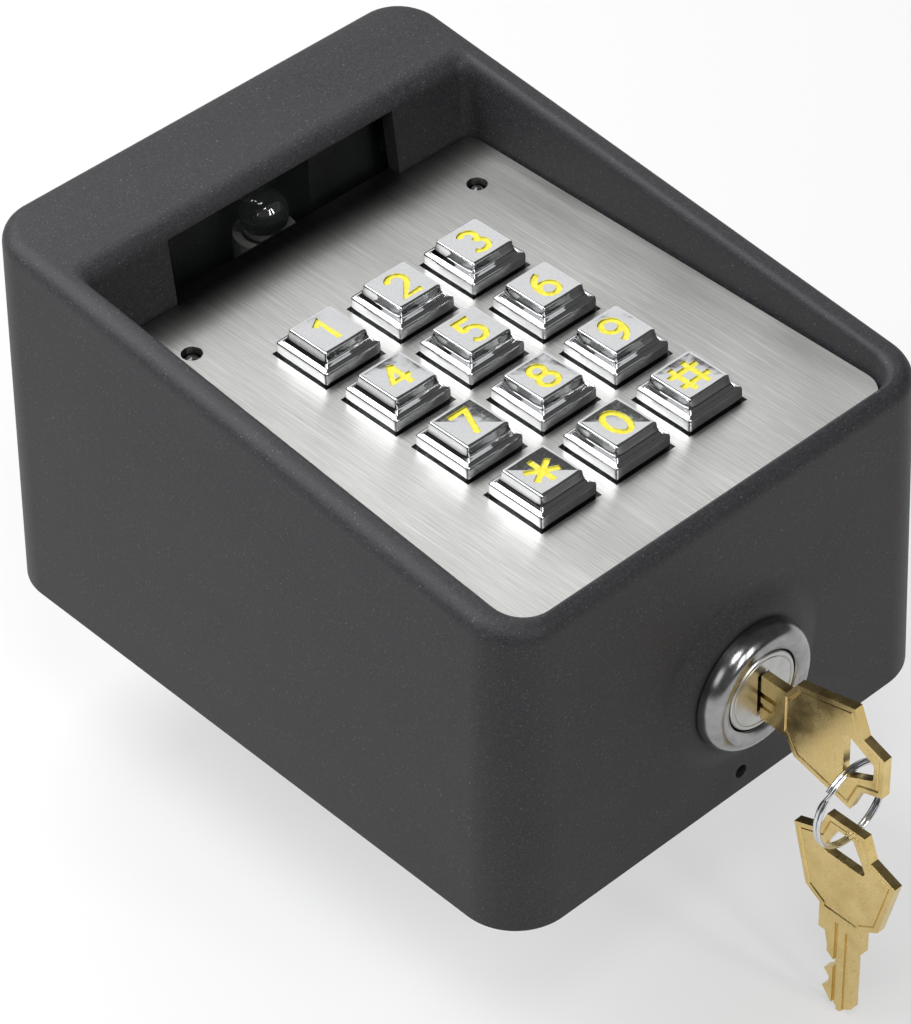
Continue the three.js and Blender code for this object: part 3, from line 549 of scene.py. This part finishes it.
def punched_sheet():
    c = PLATE_CLEARANCE
    sheet = rounded_sheet(
        -POCKET_SIDE + c, POCKET_SIDE - c, POCKET_NEAR + c, POCKET_FAR - c, [2.2, 2.2, 5.6, 5.6], 10,
    )
    bmesh.ops.translate(sheet, vec=(0, 0, -PLATE_THICKNESS), verts=sheet.verts)
    draw_up(sheet, only_face(sheet), lambda co: Vector((co.x, co.y, 0)))
    outward(sheet)
    tab = block(-TAB_SIDE, TAB_SIDE, POCKET_FAR - 4, TAB_END, -PLATE_THICKNESS, 0)
    studs = [
        pillar(STUD_RADIUS, x, GRID_CENTRE + y, -STUD_LENGTH, -PLATE_THICKNESS + 0.4, 20)
        for x in (-STUD_X, STUD_X) for y in (-STUD_Y, STUD_Y)
    ]
    half = CUTOUT / 2
    punches = [block(x - half, x + half, y - half, y + half, -5, 5) for _, x, y in button_places()]
    punches += [pillar(LAMP_HOLE, x, LAMP_HOLE_Y, -5, 5, 40) for x in (-LAMP_HOLE_X, LAMP_HOLE_X)]
    return combine(combine(sheet, [tab, *studs], "UNION"), punches, "DIFFERENCE")


def brushed_stainless():
    steel = start_finish("brushed_stainless", Metallic=1.0, Anisotropic=0.75)
    fine = grain(steel, 0.11, 9, 9, detail=3, roughness=0.6)
    coarse = grain(steel, 0.55, 26, 26, detail=2)
    cloud = grain(steel, 22, detail=1)
    base = tint(steel, ramp(steel, fine, 0.3, 0.7, 0, 1), (0.25, 0.25, 0.243), (0.37, 0.37, 0.36))
    streaked = tint(steel, ramp(steel, coarse, 0.55, 0.75, 0, 0.35), base, (0.47, 0.47, 0.46))
    feed(steel, "Base Color", streaked)
    feed(steel, "Roughness", ramp(steel, cloud, 0.3, 0.7, 0.30, 0.36))
    feed(steel, "Normal", relief(steel, fine, 0.012, 0.5))
    nodes = steel.node_tree.nodes
    along = nodes.new("ShaderNodeTangent")
    along.direction_type = "UV_MAP"
    along.uv_map = "brushing"
    feed(steel, "Tangent", along.outputs["Tangent"])
    return steel


def unroll_brushing(piece):
    """Lays the piece's own map flat across the sheet, which gives the brushed steel its grain."""
    layer = piece.data.uv_layers.new(name="brushing")
    for loop in piece.data.loops:
        corner = piece.data.vertices[loop.vertex_index].co
        layer.data[loop.index].uv = (corner.x * 10, corner.y * 10)


brushed_steel = brushed_stainless()
faceplate_sheet = lay_out(
    "faceplate_sheet", lay_on_deck(punched_sheet()), brushed_steel, "cover", "brushed_steel",
    "faceplate", ridge=0.12,
)
unroll_brushing(faceplate_sheet)

# ---- buttons -------------------------------------------------------------------------------
# Twelve zinc castings, polished and chromed, each with a square skirt and a block with hollow
# flanks on top. The legend is cast into the top and its groove is filled with yellow enamel.
SKIRT = 6.3
FLANGE = 7.5
STEM = 4.0
TOP_HEIGHT = 5.3
# Half width and height of each turn of the button's side, from the skirt's foot to the top.
BUTTON_SIDE = (
    (SKIRT, 2.15), (6.27, 2.38), (6.18, 2.58), (6.02, 2.74), (5.8, 2.82), (5.5, 2.84), (5.4, 2.74),
    (5.34, 2.82), (5.28, 2.96), (5.1, 3.2), (4.96, 3.5), (4.85, 3.86), (4.77, 4.28), (4.71, 4.7),
    (4.67, 5.04), (4.62, 5.18), (4.54, 5.27), (4.44, TOP_HEIGHT),
)
DISH = 0.1
GROOVE = 0.65
FILL_DEPTH = 0.36
STROKE = 0.6


def square_solid(half, z0, z1, corner):
    bm = rounded_sheet(-half, half, -half, half, [corner] * 4, 4)
    bmesh.ops.translate(bm, vec=(0, 0, z0), verts=bm.verts)
    draw_up(bm, only_face(bm), lambda co: Vector((co.x, co.y, z1)))
    return outward(bm)


def button_casting():
    bm = rounded_sheet(-SKIRT, SKIRT, -SKIRT, SKIRT, [0.42] * 4, 4)
    flats = [edge for edge in bm.edges if edge.calc_length() > SKIRT]
    bmesh.ops.subdivide_edges(bm, edges=flats, cuts=7)
    bmesh.ops.translate(bm, vec=(0, 0, -1.85), verts=bm.verts)
    draw_up(bm, only_face(bm), lambda co: Vector((co.x, co.y, BUTTON_SIDE[0][1])))
    top = max(bm.faces, key=lambda face: face.calc_center_median().z)
    for (before, _), (half, height) in zip(BUTTON_SIDE, BUTTON_SIDE[1:]):
        top = draw_up(
            bm, top, lambda co: Vector((co.x * half / before, co.y * half / before, height)),
        )
    for share in (0.93, 0.82, 0.66, 0.48, 0.3, 0.14):
        half = BUTTON_SIDE[-1][0] * share

        def dished(co):
            square = co * half / max(abs(co.x), abs(co.y))
            round_one = Vector((co.x, co.y)).normalized() * half
            mix = min(1.2 * (1 - share), 1)
            x, y = square.x + (round_one.x - square.x) * mix, square.y + (round_one.y - square.y) * mix
            return Vector((x, y, TOP_HEIGHT - DISH * (1 - share * share)))

        top = draw_up(bm, top, dished)
    return combine(outward(bm), [
        square_solid(FLANGE, -3.4, -1.8, 0.7), square_solid(STEM, -6.0, -3.3, 0.6),
    ], "UNION")


def arc(x, y, radius_x, radius_y, start, end, count=14):
    for index in range(count + 1):
        angle = radians(start + (end - start) * index / count)
        yield x + radius_x * cos(angle), y + radius_y * sin(angle)


def ribbon(path, closed=False):
    """A stroke of even width along a path, as a solid one unit high."""
    path = [Vector(point) for point in path]
    count = len(path)
    bm = bmesh.new()
    rungs = []
    for index, point in enumerate(path):
        ahead = path[(index + 1) % count] - point
        behind = point - path[index - 1]
        if not closed and index == 0:
            behind = ahead
        if not closed and index == count - 1:
            ahead = behind
        middle = (ahead.normalized() + behind.normalized()).normalized()
        reach = STROKE / max(middle.dot(ahead.normalized()), 0.6)
        side = Vector((-middle.y, middle.x)) * reach
        rungs.append([bm.verts.new((*(point + side), 0)), bm.verts.new((*(point - side), 0))])
    pairs = list(zip(rungs, rungs[1:])) + ([(rungs[-1], rungs[0])] if closed else [])
    for (left, right), (next_left, next_right) in pairs:
        bm.faces.new((left, right, next_right, next_left))
    grown = bmesh.ops.extrude_face_region(bm, geom=bm.faces[:])["geom"]
    tops = [part for part in grown if isinstance(part, bmesh.types.BMVert)]
    bmesh.ops.translate(bm, vec=(0, 0, 1), verts=tops)
    return outward(bm)


def ring(x, y, radius_x, radius_y):
    return ribbon(list(arc(x, y, radius_x, radius_y, 0, 345, 23)), closed=True)


def bar_across(x, y, length, angle):
    half = Vector((cos(angle), sin(angle))) * length / 2
    return ribbon([Vector((x, y)) - half, Vector((x, y)) + half])


def legend_strokes(legend):
    if legend == "star":
        return [bar_across(0, 0, 6.2, radians(angle)) for angle in (30, 90, 150)]
    if legend == "hash":
        gap = 1.5
        level = [bar_across(0, y, 6.6, 0) for y in (-gap, gap)]
        return level + [bar_across(x, 0, 6.6, pi / 2) for x in (-gap, gap)]
    tail = [(-1.72, -1.1), (-1.66, -0.1), (-1.4, 0.85), (-0.85, 1.75), (0.0, 2.45), (1.0, 2.9)]
    return {
        "1": lambda: [ribbon([(-1.2, 1.75), (0.25, 2.8), (0.25, -3.0)])],
        "2": lambda: [ribbon([*arc(0, 1.25, 1.7, 1.65, 165, -40), (-1.75, -2.85), (2.0, -2.85)])],
        "3": lambda: [
            ribbon(arc(-0.1, 1.45, 1.5, 1.4, 150, -85)), ribbon(arc(-0.1, -1.3, 1.8, 1.55, 85, -150)),
        ],
        "4": lambda: [
            ribbon([(0.75, 2.9), (-1.9, -1.0), (2.1, -1.0)]), ribbon([(0.75, -3.0), (0.75, 2.75)]),
        ],
        "5": lambda: [
            ribbon([(1.7, 2.85), (-1.3, 2.85), (-1.45, 0.2)]),
            ribbon(arc(-0.1, -1.05, 1.8, 1.85, 140, -145)),
        ],
        "6": lambda: [ring(0, -1.2, 1.72, 1.68), ribbon(tail)],
        "7": lambda: [ribbon([(-1.9, 2.85), (1.75, 2.85), (-0.75, -3.0)])],
        "8": lambda: [ring(0, 1.5, 1.42, 1.35), ring(0, -1.3, 1.75, 1.55)],
        "9": lambda: [ring(0, 1.2, 1.72, 1.68), ribbon([(-x, -y) for x, y in tail])],
        "0": lambda: [ring(0, 0, 1.85, 2.85)],
    }[legend]()


def legend_solid(legend):
    strokes = legend_strokes(legend)
    return combine(strokes[0], strokes[1:], "UNION") if len(strokes) > 1 else strokes[0]


def lifted(bm, x, y, z):
    bmesh.ops.translate(bm, vec=(x, y, z), verts=bm.verts)
    return bm


def bright_chrome():
    chrome = start_finish("button_chrome", Metallic=1.0)
    wave = grain(chrome, 3.4, detail=1.5, roughness=0.5)
    pit = grain(chrome, 0.5, detail=2)
    tone = tint(chrome, ramp(chrome, pit, 0.35, 0.65, 0, 1), (0.66, 0.67, 0.68), (0.71, 0.71, 0.72))
    feed(chrome, "Base Color", tone)
    feed(chrome, "Roughness", ramp(chrome, pit, 0.4, 0.75, 0.05, 0.10))
    feed(chrome, "Normal", relief(chrome, pit, 0.001, 0.2, relief(chrome, wave, 0.06, 0.35)))
    return chrome


def yellow_enamel():
    enamel = start_finish("yellow_enamel", Coat_Weight=0.35, Coat_Roughness=0.12)
    patch = grain(enamel, 0.8, detail=2)
    feed(enamel, "Base Color", tint(
        enamel, ramp(enamel, patch, 0.35, 0.7, 0, 1), (0.60, 0.52, 0.015), (0.74, 0.66, 0.04),
    ))
    feed(enamel, "Roughness", ramp(enamel, patch, 0.3, 0.7, 0.3, 0.5))
    feed(enamel, "Normal", relief(enamel, patch, 0.03, 0.5))
    return enamel


button_chrome = bright_chrome()
legend_enamel = yellow_enamel()
blank_button = button_casting()
for legend, x, y in button_places():
    groove = lifted(legend_solid(legend), 0, 0, TOP_HEIGHT - GROOVE)
    cap = combine(blank_button.copy(), [groove], "DIFFERENCE")
    lay_out(
        f"button_cap_{legend}", lay_on_deck(lifted(cap, x, y, 0)), button_chrome,
        f"button_{legend}", "button_chrome", f"button_{legend}", sharp=28,
    )
    fill = legend_solid(legend)
    bmesh.ops.scale(fill, vec=(0.985, 0.985, GROOVE - FILL_DEPTH), verts=fill.verts)
    lifted(fill, x, y, TOP_HEIGHT - GROOVE - 0.01)
    lay_out(
        f"legend_fill_{legend}", lay_on_deck(fill), legend_enamel, f"button_{legend}", "button_chrome",
    )
blank_button.free()

# ---- keypad stack under the plate ----------------------------------------------------------
# A black moulded frame guides the buttons, a silicone mat of domes returns them, and a green
# board under it carries the contacts. The four studs clamp the stack with plated nuts.


def coat_nodes(finish, *names):
    for name in names:
        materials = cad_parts[name].data.materials
        materials.clear()
        materials.append(finish)


def moulded(name, dark, light, rough=(0.42, 0.6), pebble=0.35):
    """Moulded plastic or rubber with a fine spark-eroded skin."""
    plastic = start_finish(name)
    skin = grain(plastic, pebble, detail=2)
    cloud = grain(plastic, 7, detail=1)
    feed(plastic, "Base Color", tint(plastic, ramp(plastic, cloud, 0.3, 0.7, 0, 1), dark, light))
    feed(plastic, "Roughness", ramp(plastic, skin, 0.3, 0.7, *rough))
    feed(plastic, "Normal", relief(plastic, skin, 0.02, 0.5))
    return plastic


def printed_board():
    """Green solder mask with a pattern of copper tracks just under it."""
    board = start_finish("circuit_board", Coat_Weight=0.3, Coat_Roughness=0.2)
    nodes, links = board.node_tree.nodes, board.node_tree.links
    place_node = nodes.new("ShaderNodeTexCoord")
    cells = nodes.new("ShaderNodeTexVoronoi")
    cells.distance = "CHEBYCHEV"
    cells.inputs["Scale"].default_value = 260
    links.new(place_node.outputs["Object"], cells.inputs["Vector"])
    track = ramp(board, cells.outputs["Distance"], 0.42, 0.46, 0, 1)
    feed(board, "Base Color", tint(board, track, (0.012, 0.105, 0.045), (0.03, 0.21, 0.085)))
    feed(board, "Roughness", ramp(board, grain(board, 2, detail=2), 0.3, 0.7, 0.28, 0.42))
    feed(board, "Normal", relief(board, track, 0.03, 0.6))
    return board


def zinc():
    """Passivated zinc with its faint crystal blotches."""
    metal = start_finish("zinc_plate", Metallic=1.0)
    blotch = grain(metal, 3.2, detail=3)
    scratch = grain(metal, 0.12, 5, 5, detail=2)
    feed(metal, "Base Color", tint(
        metal, ramp(metal, blotch, 0.35, 0.65, 0, 1), (0.46, 0.47, 0.47), (0.62, 0.63, 0.64),
    ))
    feed(metal, "Roughness", ramp(metal, blotch, 0.3, 0.7, 0.3, 0.46))
    feed(metal, "Normal", relief(metal, scratch, 0.008, 0.4))
    return metal


black_plastic = moulded("black_plastic", (0.012, 0.012, 0.013), (0.022, 0.022, 0.024))
silicone = moulded("silicone", (0.22, 0.24, 0.26), (0.29, 0.31, 0.33), (0.5, 0.65))
circuit_board = printed_board()
zinc_plate = zinc()
coat_nodes(black_plastic, "keypad_frame")
coat_nodes(silicone, "keypad_mat")
coat_nodes(circuit_board, "keypad_board")
coat_nodes(zinc_plate, *[f"keypad_nut_{i}" for i in range(1, 5)])
dark_lamp = start_finish("indicator_body", Specular_IOR_Level=0.5, Coat_Weight=0.5)
feed(dark_lamp, "Base Color", tint(
    dark_lamp, ramp(dark_lamp, grain(dark_lamp, 1.2), 0.3, 0.7, 0, 1),
    (0.01, 0.012, 0.012), (0.03, 0.034, 0.034),
))
feed(dark_lamp, "Roughness", ramp(dark_lamp, grain(dark_lamp, 0.6), 0.3, 0.7, 0.12, 0.25))
coat_nodes(dark_lamp, "indicator_left", "indicator_right")

# ---- main board and what is soldered to it -------------------------------------------------
# The control board hangs from four posts of the casting, components down. Its green terminals
# take the field wires, and a flat ribbon joins it to the keypad board above.
green_plastic = moulded("green_plastic", (0.025, 0.20, 0.075), (0.04, 0.27, 0.10), (0.35, 0.5))
grey_cable = moulded("grey_cable", (0.30, 0.30, 0.32), (0.38, 0.38, 0.40), (0.45, 0.6))
coat_nodes(circuit_board, "main_board")
coat_nodes(zinc_plate, *[f"board_screw_{i}" for i in range(1, 5)])
coat_nodes(green_plastic, "terminal_block_power", "terminal_block_signal")
coat_nodes(black_plastic, "relay", "controller_chip", "buzzer", "capacitor")
coat_nodes(grey_cable, "ribbon_cable")

# ---- window and lamp -----------------------------------------------------------------------
# A smoked clear sheet closes the slot in the hood from inside, on a rubber seal, under two clips.
# A small clear bulb stands behind it in a pale socket, next to a black baffle.
BULB_X, BULB_Y, BULB_RADIUS, BULB_TOP, COLLAR_Z = 4.2, 53.2, 4.6, 61.6, 53.0


def upright_spin(points, steps, x, y):
    """Turns a profile of (radius, z) about an upright axis."""
    bm = revolved(points, steps)
    bmesh.ops.translate(bm, vec=(x, y, 0), verts=bm.verts)
    return outward(bm)


def bulb_profile():
    foot = COLLAR_Z - 5.5
    throat = BULB_RADIUS - 0.8
    centre = BULB_TOP - BULB_RADIUS
    points = [(0, foot), (throat, foot), (throat, COLLAR_Z + 0.3)]
    for step in range(13):
        angle = step / 12 * pi / 2
        points.append((max(BULB_RADIUS * cos(angle), 0), centre + BULB_RADIUS * sin(angle)))
    return points


def smoked_sheet():
    """Dark clear plastic: it lets most light through and mirrors a little of it."""
    smoke = start_finish("smoked_window", Alpha=0.15, Specular_IOR_Level=0.8)
    haze = grain(smoke, 9, detail=2)
    feed(smoke, "Base Color", tint(
        smoke, ramp(smoke, haze, 0.3, 0.7, 0, 1), (0.006, 0.008, 0.008), (0.016, 0.019, 0.020),
    ))
    feed(smoke, "Roughness", ramp(smoke, haze, 0.3, 0.7, 0.02, 0.05))
    return smoke


def bulb_glass():
    glass = start_finish(
        "bulb_glass", Transmission_Weight=0.85, IOR=2.1, Coat_Weight=1.0, Coat_IOR=2.6, Coat_Roughness=0.03,
    )
    film = grain(glass, 2.4, detail=1)
    feed(glass, "Base Color", tint(
        glass, ramp(glass, film, 0.3, 0.7, 0, 1), (0.30, 0.33, 0.34), (0.42, 0.45, 0.46),
    ))
    feed(glass, "Roughness", ramp(glass, film, 0.3, 0.7, 0.02, 0.05))
    return glass


smoked_window = smoked_sheet()
white_plastic = moulded("white_plastic", (0.50, 0.49, 0.45), (0.60, 0.59, 0.55))
black_rubber = moulded("black_rubber", (0.012, 0.012, 0.012), (0.020, 0.020, 0.020), (0.6, 0.8), 0.5)
coat_nodes(smoked_window, "window_lens")
coat_nodes(black_rubber, "lens_seal")
coat_nodes(zinc_plate, "lens_clip_left", "lens_clip_right", "lens_screw_left", "lens_screw_right")
coat_nodes(white_plastic, "lamp_socket")
coat_nodes(black_plastic, "light_baffle")
lay_out(
    "lamp_envelope", upright_spin(bulb_profile(), 48, BULB_X, BULB_Y), bulb_glass(), "cover",
    "clear_glass", "lamp_bulb",
)

# ---- cam lock ------------------------------------------------------------------------------
# A die-cast lock with a domed, satin chromed bezel. The nickelled plug turns in it, with a fine
# ring line round its face and a keyway across it. A nut inside clamps the wall.
LOCK_FACE = -70.6
BEZEL_RADIUS = 12.5
CREST_RADIUS = 9.9
PLUG_CAP_RADIUS = 7.6
PLUG_RADIUS = 6.2
BARREL_END = -51.5
CAM_FRONT, CAM_BACK = -46.6, -44.1
KEYWAY = 2.1
WALL_FACE = -LENGTH / 2 + DRAFT * LOCK_Z


def bezel_profile():
    """Radius and distance out along -Y, from the mouth over the dome and down the barrel."""
    crest = -LOCK_FACE + 0.7
    seat = -(WALL_FACE - BOSS_PROUD - GAP)
    inner = PLUG_CAP_RADIUS + GAP
    points = [(inner, -LOCK_FACE - 3), (inner, crest - 1.0), (inner + 0.12, crest - 0.72)]
    middle, reach = CREST_RADIUS, BEZEL_RADIUS - CREST_RADIUS
    for step in range(1, 9):
        share = step / 9
        radius = inner + 0.12 + (middle - inner - 0.12) * share
        points.append((radius, crest - 0.72 + 0.72 * sin(share * pi / 2)))
    for step in range(13):
        angle = step / 12 * pi / 2
        points.append((middle + reach * sin(angle), seat + 0.3 + (crest - seat - 0.3) * cos(angle)))
    points += [(BEZEL_RADIUS, seat), (BARREL_RADIUS, seat), (BARREL_RADIUS, -BARREL_END)]
    points += [(PLUG_RADIUS + GAP, -BARREL_END), (PLUG_RADIUS + GAP, -LOCK_FACE - 3), points[0]]
    return points


def plug_solid():
    face = -LOCK_FACE
    profile = [
        (0, face), (6.55, face), (6.65, face - 0.14), (6.8, face - 0.14), (6.9, face), (7.4, face),
        (PLUG_CAP_RADIUS, face - 0.2), (PLUG_CAP_RADIUS, face - 2.6), (PLUG_RADIUS, face - 2.6),
        (PLUG_RADIUS, -CAM_FRONT + GAP), (0, -CAM_FRONT + GAP),
    ]
    centre = Vector((LOCK_X, 0, LOCK_Z))
    body = spun(profile, 72, centre)
    tail = block(LOCK_X - 2.6, LOCK_X + 2.6, CAM_FRONT - 1, CAM_BACK - 0.4, LOCK_Z - 2.6, LOCK_Z + 2.6)
    slot = KEYWAY / 2 + GAP
    keyway = block(LOCK_X - slot, LOCK_X + slot, LOCK_FACE - 1, LOCK_FACE + 18, LOCK_Z - 4, LOCK_Z + 4)
    bore = bar(1.8, CAM_BACK - 5, CAM_BACK + 3, sides=20)
    return combine(combine(body, [tail], "UNION"), [keyway, bore], "DIFFERENCE")


def polished_metal(name, dark, light, rough, scratch_size=0.14):
    """Plated metal with cloudy polish and fine handling scratches."""
    metal = start_finish(name, Metallic=1.0)
    cloud = grain(metal, 2.6, detail=2)
    scratch = grain(metal, scratch_size, 2.4, scratch_size, detail=2)
    feed(metal, "Base Color", tint(metal, ramp(metal, cloud, 0.3, 0.7, 0, 1), dark, light))
    feed(metal, "Roughness", ramp(metal, cloud, 0.3, 0.7, *rough))
    feed(metal, "Normal", relief(metal, scratch, 0.006, 0.4))
    return metal


satin_chrome = polished_metal("satin_chrome", (0.27, 0.27, 0.27), (0.36, 0.36, 0.36), (0.18, 0.25))
plug_nickel = polished_metal("plug_nickel", (0.44, 0.44, 0.43), (0.54, 0.54, 0.53), (0.3, 0.4))
bezel = spun(bezel_profile(), 96, Vector((LOCK_X, 0, LOCK_Z)))
lay_out("lock_body_domed", bezel, satin_chrome, "cover", "satin_chrome", "lock_body", sharp=40)
lay_out("lock_plug_slotted", plug_solid(), plug_nickel, "lock_plug", "lock_plug", "lock_plug", sharp=30)
coat_nodes(zinc_plate, "lock_nut", "lock_cam", "cam_screw")

# ---- keys ----------------------------------------------------------------------------------
# Two brass keys stamped from 1.8 mm strip, with a raised border round the bow, milled grooves
# down the blade and a wedge-shaped hole. One is in the lock, and the spare hangs from the ring.
KEY_END = 27.4
HOLE_END = 25.2
BLADE_LENGTH = 17.4
NECK_HALF = 4.9
KEY_HALF = 0.9
BORDER = 0.95
KEY_SEAT = 28.2
BOW = (
    (4.6, -NECK_HALF), (5.8, -NECK_HALF), (7.9, -8.2), (20.6, -11.4), (22.8, -5.9), (KEY_END, -4.2),
    (KEY_END, 4.2), (22.8, 5.9), (20.6, 11.4), (7.9, 8.2), (5.8, NECK_HALF), (4.6, NECK_HALF),
)
BOW_HOLE = ((18.6, -4.2), (19.4, -4.7), (HOLE_END, -1.7), (HOLE_END, 1.7), (19.4, 4.7), (18.6, 4.2))
BLADE = (
    (5.2, -NECK_HALF), (5.2, NECK_HALF), (0, NECK_HALF), (0, 3.4), (-3, 2.8), (-4.6, 2.8), (-5.8, 1.2),
    (-7.6, 1.2), (-9.2, 3.2), (-10.4, 2.0), (-12.2, 2.0), (-13.6, 3.4), (-16.0, 1.6), (-BLADE_LENGTH, 0.2),
    (-17.2, -0.8), (-14.8, -3.4), (0, -3.4), (0, -NECK_HALF),
)


def strip(outline, z0, z1, corner=0.0):
    """A flat solid of an outline, between two heights, with its corners rounded."""
    bm = bmesh.new()
    bm.faces.new([bm.verts.new((a, b, z0)) for a, b in outline])
    if corner:
        bmesh.ops.bevel(
            bm, geom=bm.verts[:], offset=corner, offset_type="OFFSET", segments=4, profile=0.5,
            affect="VERTICES", material=-1,
        )
    draw_up(bm, only_face(bm), lambda co: Vector((co.x, co.y, z1)))
    return outward(bm)


def key_solid():
    half = KEY_HALF
    bow = strip(BOW, -half, half)
    for face in [f for f in bow.faces if abs(f.normal.z) > 0.9]:
        bmesh.ops.inset_region(bow, faces=[face], thickness=BORDER, use_even_offset=True)
        bmesh.ops.inset_region(bow, faces=[face], thickness=0.2, depth=-0.3, use_even_offset=True)
        bmesh.ops.inset_region(bow, faces=[face], thickness=0.2, depth=0.24, use_even_offset=True)
    bmesh.ops.recalc_face_normals(bow, faces=bow.faces)
    whole = combine(bow, [strip(BLADE, -half, half)], "UNION")
    cuts = [strip(BOW_HOLE, -half - 1, half + 1, 0.4)]
    for side in (-1, 1):
        low, high = sorted((side * 0.45, side * 2))
        cuts.append(block(-BLADE_LENGTH - 1, 3.6, 0.1, 1.2, low, high))
    cuts.append(block(-BLADE_LENGTH - 1, 2.6, -2.3, -1.2, 0.6, 2))
    return combine(whole, cuts, "DIFFERENCE")


def turned_to(bm, along, across, origin):
    """Turns a key made flat, blade to -X, so that its length and width follow two directions."""
    axes = Matrix((along, across, along.cross(across))).transposed()
    bmesh.ops.rotate(bm, cent=(0, 0, 0), matrix=axes, verts=bm.verts)
    bmesh.ops.translate(bm, vec=origin, verts=bm.verts)
    return bm


def key_brass_finish():
    brass = start_finish("key_brass", Metallic=1.0)
    tarnish = grain(brass, 4.5, detail=3)
    speck = grain(brass, 0.55, detail=2)
    scratch = grain(brass, 2.6, 0.1, 0.1, detail=2)
    base = tint(brass, ramp(brass, tarnish, 0.3, 0.7, 0, 1), (0.64, 0.47, 0.18), (0.76, 0.585, 0.26))
    aged = tint(brass, ramp(brass, speck, 0.6, 0.75, 0, 0.5), base, (0.34, 0.22, 0.08))
    feed(brass, "Base Color", aged)
    feed(brass, "Roughness", ramp(brass, tarnish, 0.3, 0.7, 0.17, 0.32))
    feed(brass, "Normal", relief(brass, speck, 0.012, 0.4, relief(brass, scratch, 0.006, 0.5)))
    return brass


key_brass = key_brass_finish()
service_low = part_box("service_key")[0] / MM
service_place = Vector((LOCK_X, service_low.y + KEY_SEAT, LOCK_Z - 0.6))
service = turned_to(key_solid(), Vector((0, -1, 0)), Vector((0, 0, 1)), service_place)
lay_out("service_key_brass", service, key_brass, "service_key", "key_brass", "service_key", ridge=0.13)
spare_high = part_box("spare_key")[1] / MM
ring_low, ring_high = [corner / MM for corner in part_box("split_ring")]
spare_place = Vector((LOCK_X, (ring_low.y + ring_high.y) / 2, spare_high.z - KEY_SEAT))
spare = turned_to(key_solid(), Vector((0, 0, 1)), Vector((0, 1, 0)), spare_place)
lay_out("spare_key_brass", spare, key_brass, "spare_key", "key_brass", "spare_key", ridge=0.13)

# ---- split ring ----------------------------------------------------------------------------
# Two turns of bright spring wire lying side by side, which step across each other at their ends.
WIRE = 0.36
RING_INSET = 0.55
TURN_OFFSET = 0.38
STEP_AT, STEP_LENGTH = radians(140), radians(26)


def split_ring_wire():
    centre = (ring_low + ring_high) / 2
    radius = (ring_high.x - ring_low.x) / 2 - RING_INSET
    curve = bpy.data.curves.new("wire", "CURVE")
    curve.dimensions = "3D"
    curve.bevel_depth = WIRE
    curve.bevel_resolution = 4
    curve.use_fill_caps = True
    spline = curve.splines.new("POLY")
    count = 200
    spline.points.add(count)
    for index, point in enumerate(spline.points):
        turned_by = index / count * (4 * pi - radians(8))
        share = min(max((turned_by - 2 * pi + STEP_LENGTH / 2) / STEP_LENGTH, 0), 1)
        aside = -TURN_OFFSET + 2 * TURN_OFFSET * share * share * (3 - 2 * share)
        angle = STEP_AT + turned_by
        point.co = (centre.x + radius * cos(angle), centre.y + aside, centre.z + radius * sin(angle), 1)
    wire = bpy.data.objects.new("wire", curve)
    bpy.context.scene.collection.objects.link(wire)
    bpy.context.view_layer.update()
    shaped = wire.evaluated_get(bpy.context.evaluated_depsgraph_get())
    bm = bmesh.new()
    bm.from_mesh(shaped.to_mesh())
    shaped.to_mesh_clear()
    bpy.data.objects.remove(wire)
    bpy.data.curves.remove(curve)
    bmesh.ops.remove_doubles(bm, verts=bm.verts, dist=1e-4)
    bmesh.ops.recalc_face_normals(bm, faces=bm.faces)
    return bm


polished_steel = polished_metal("polished_steel", (0.58, 0.59, 0.61), (0.72, 0.73, 0.75), (0.1, 0.2))
lay_out("split_ring_wire", split_ring_wire(), polished_steel, "split_ring", "polished_steel", "split_ring")

# ---- back plate ----------------------------------------------------------------------------
# A 2.2 mm zinc plated sheet that stays on the post: four bolt holes, two hooks that hold the
# cover's far edge, a rubber gasket and grommet, and the steel catch for the lock's cam.
coat_nodes(zinc_plate, "back_plate", "catch_bracket", "catch_screw")
coat_nodes(black_rubber, "back_gasket", "cable_grommet")
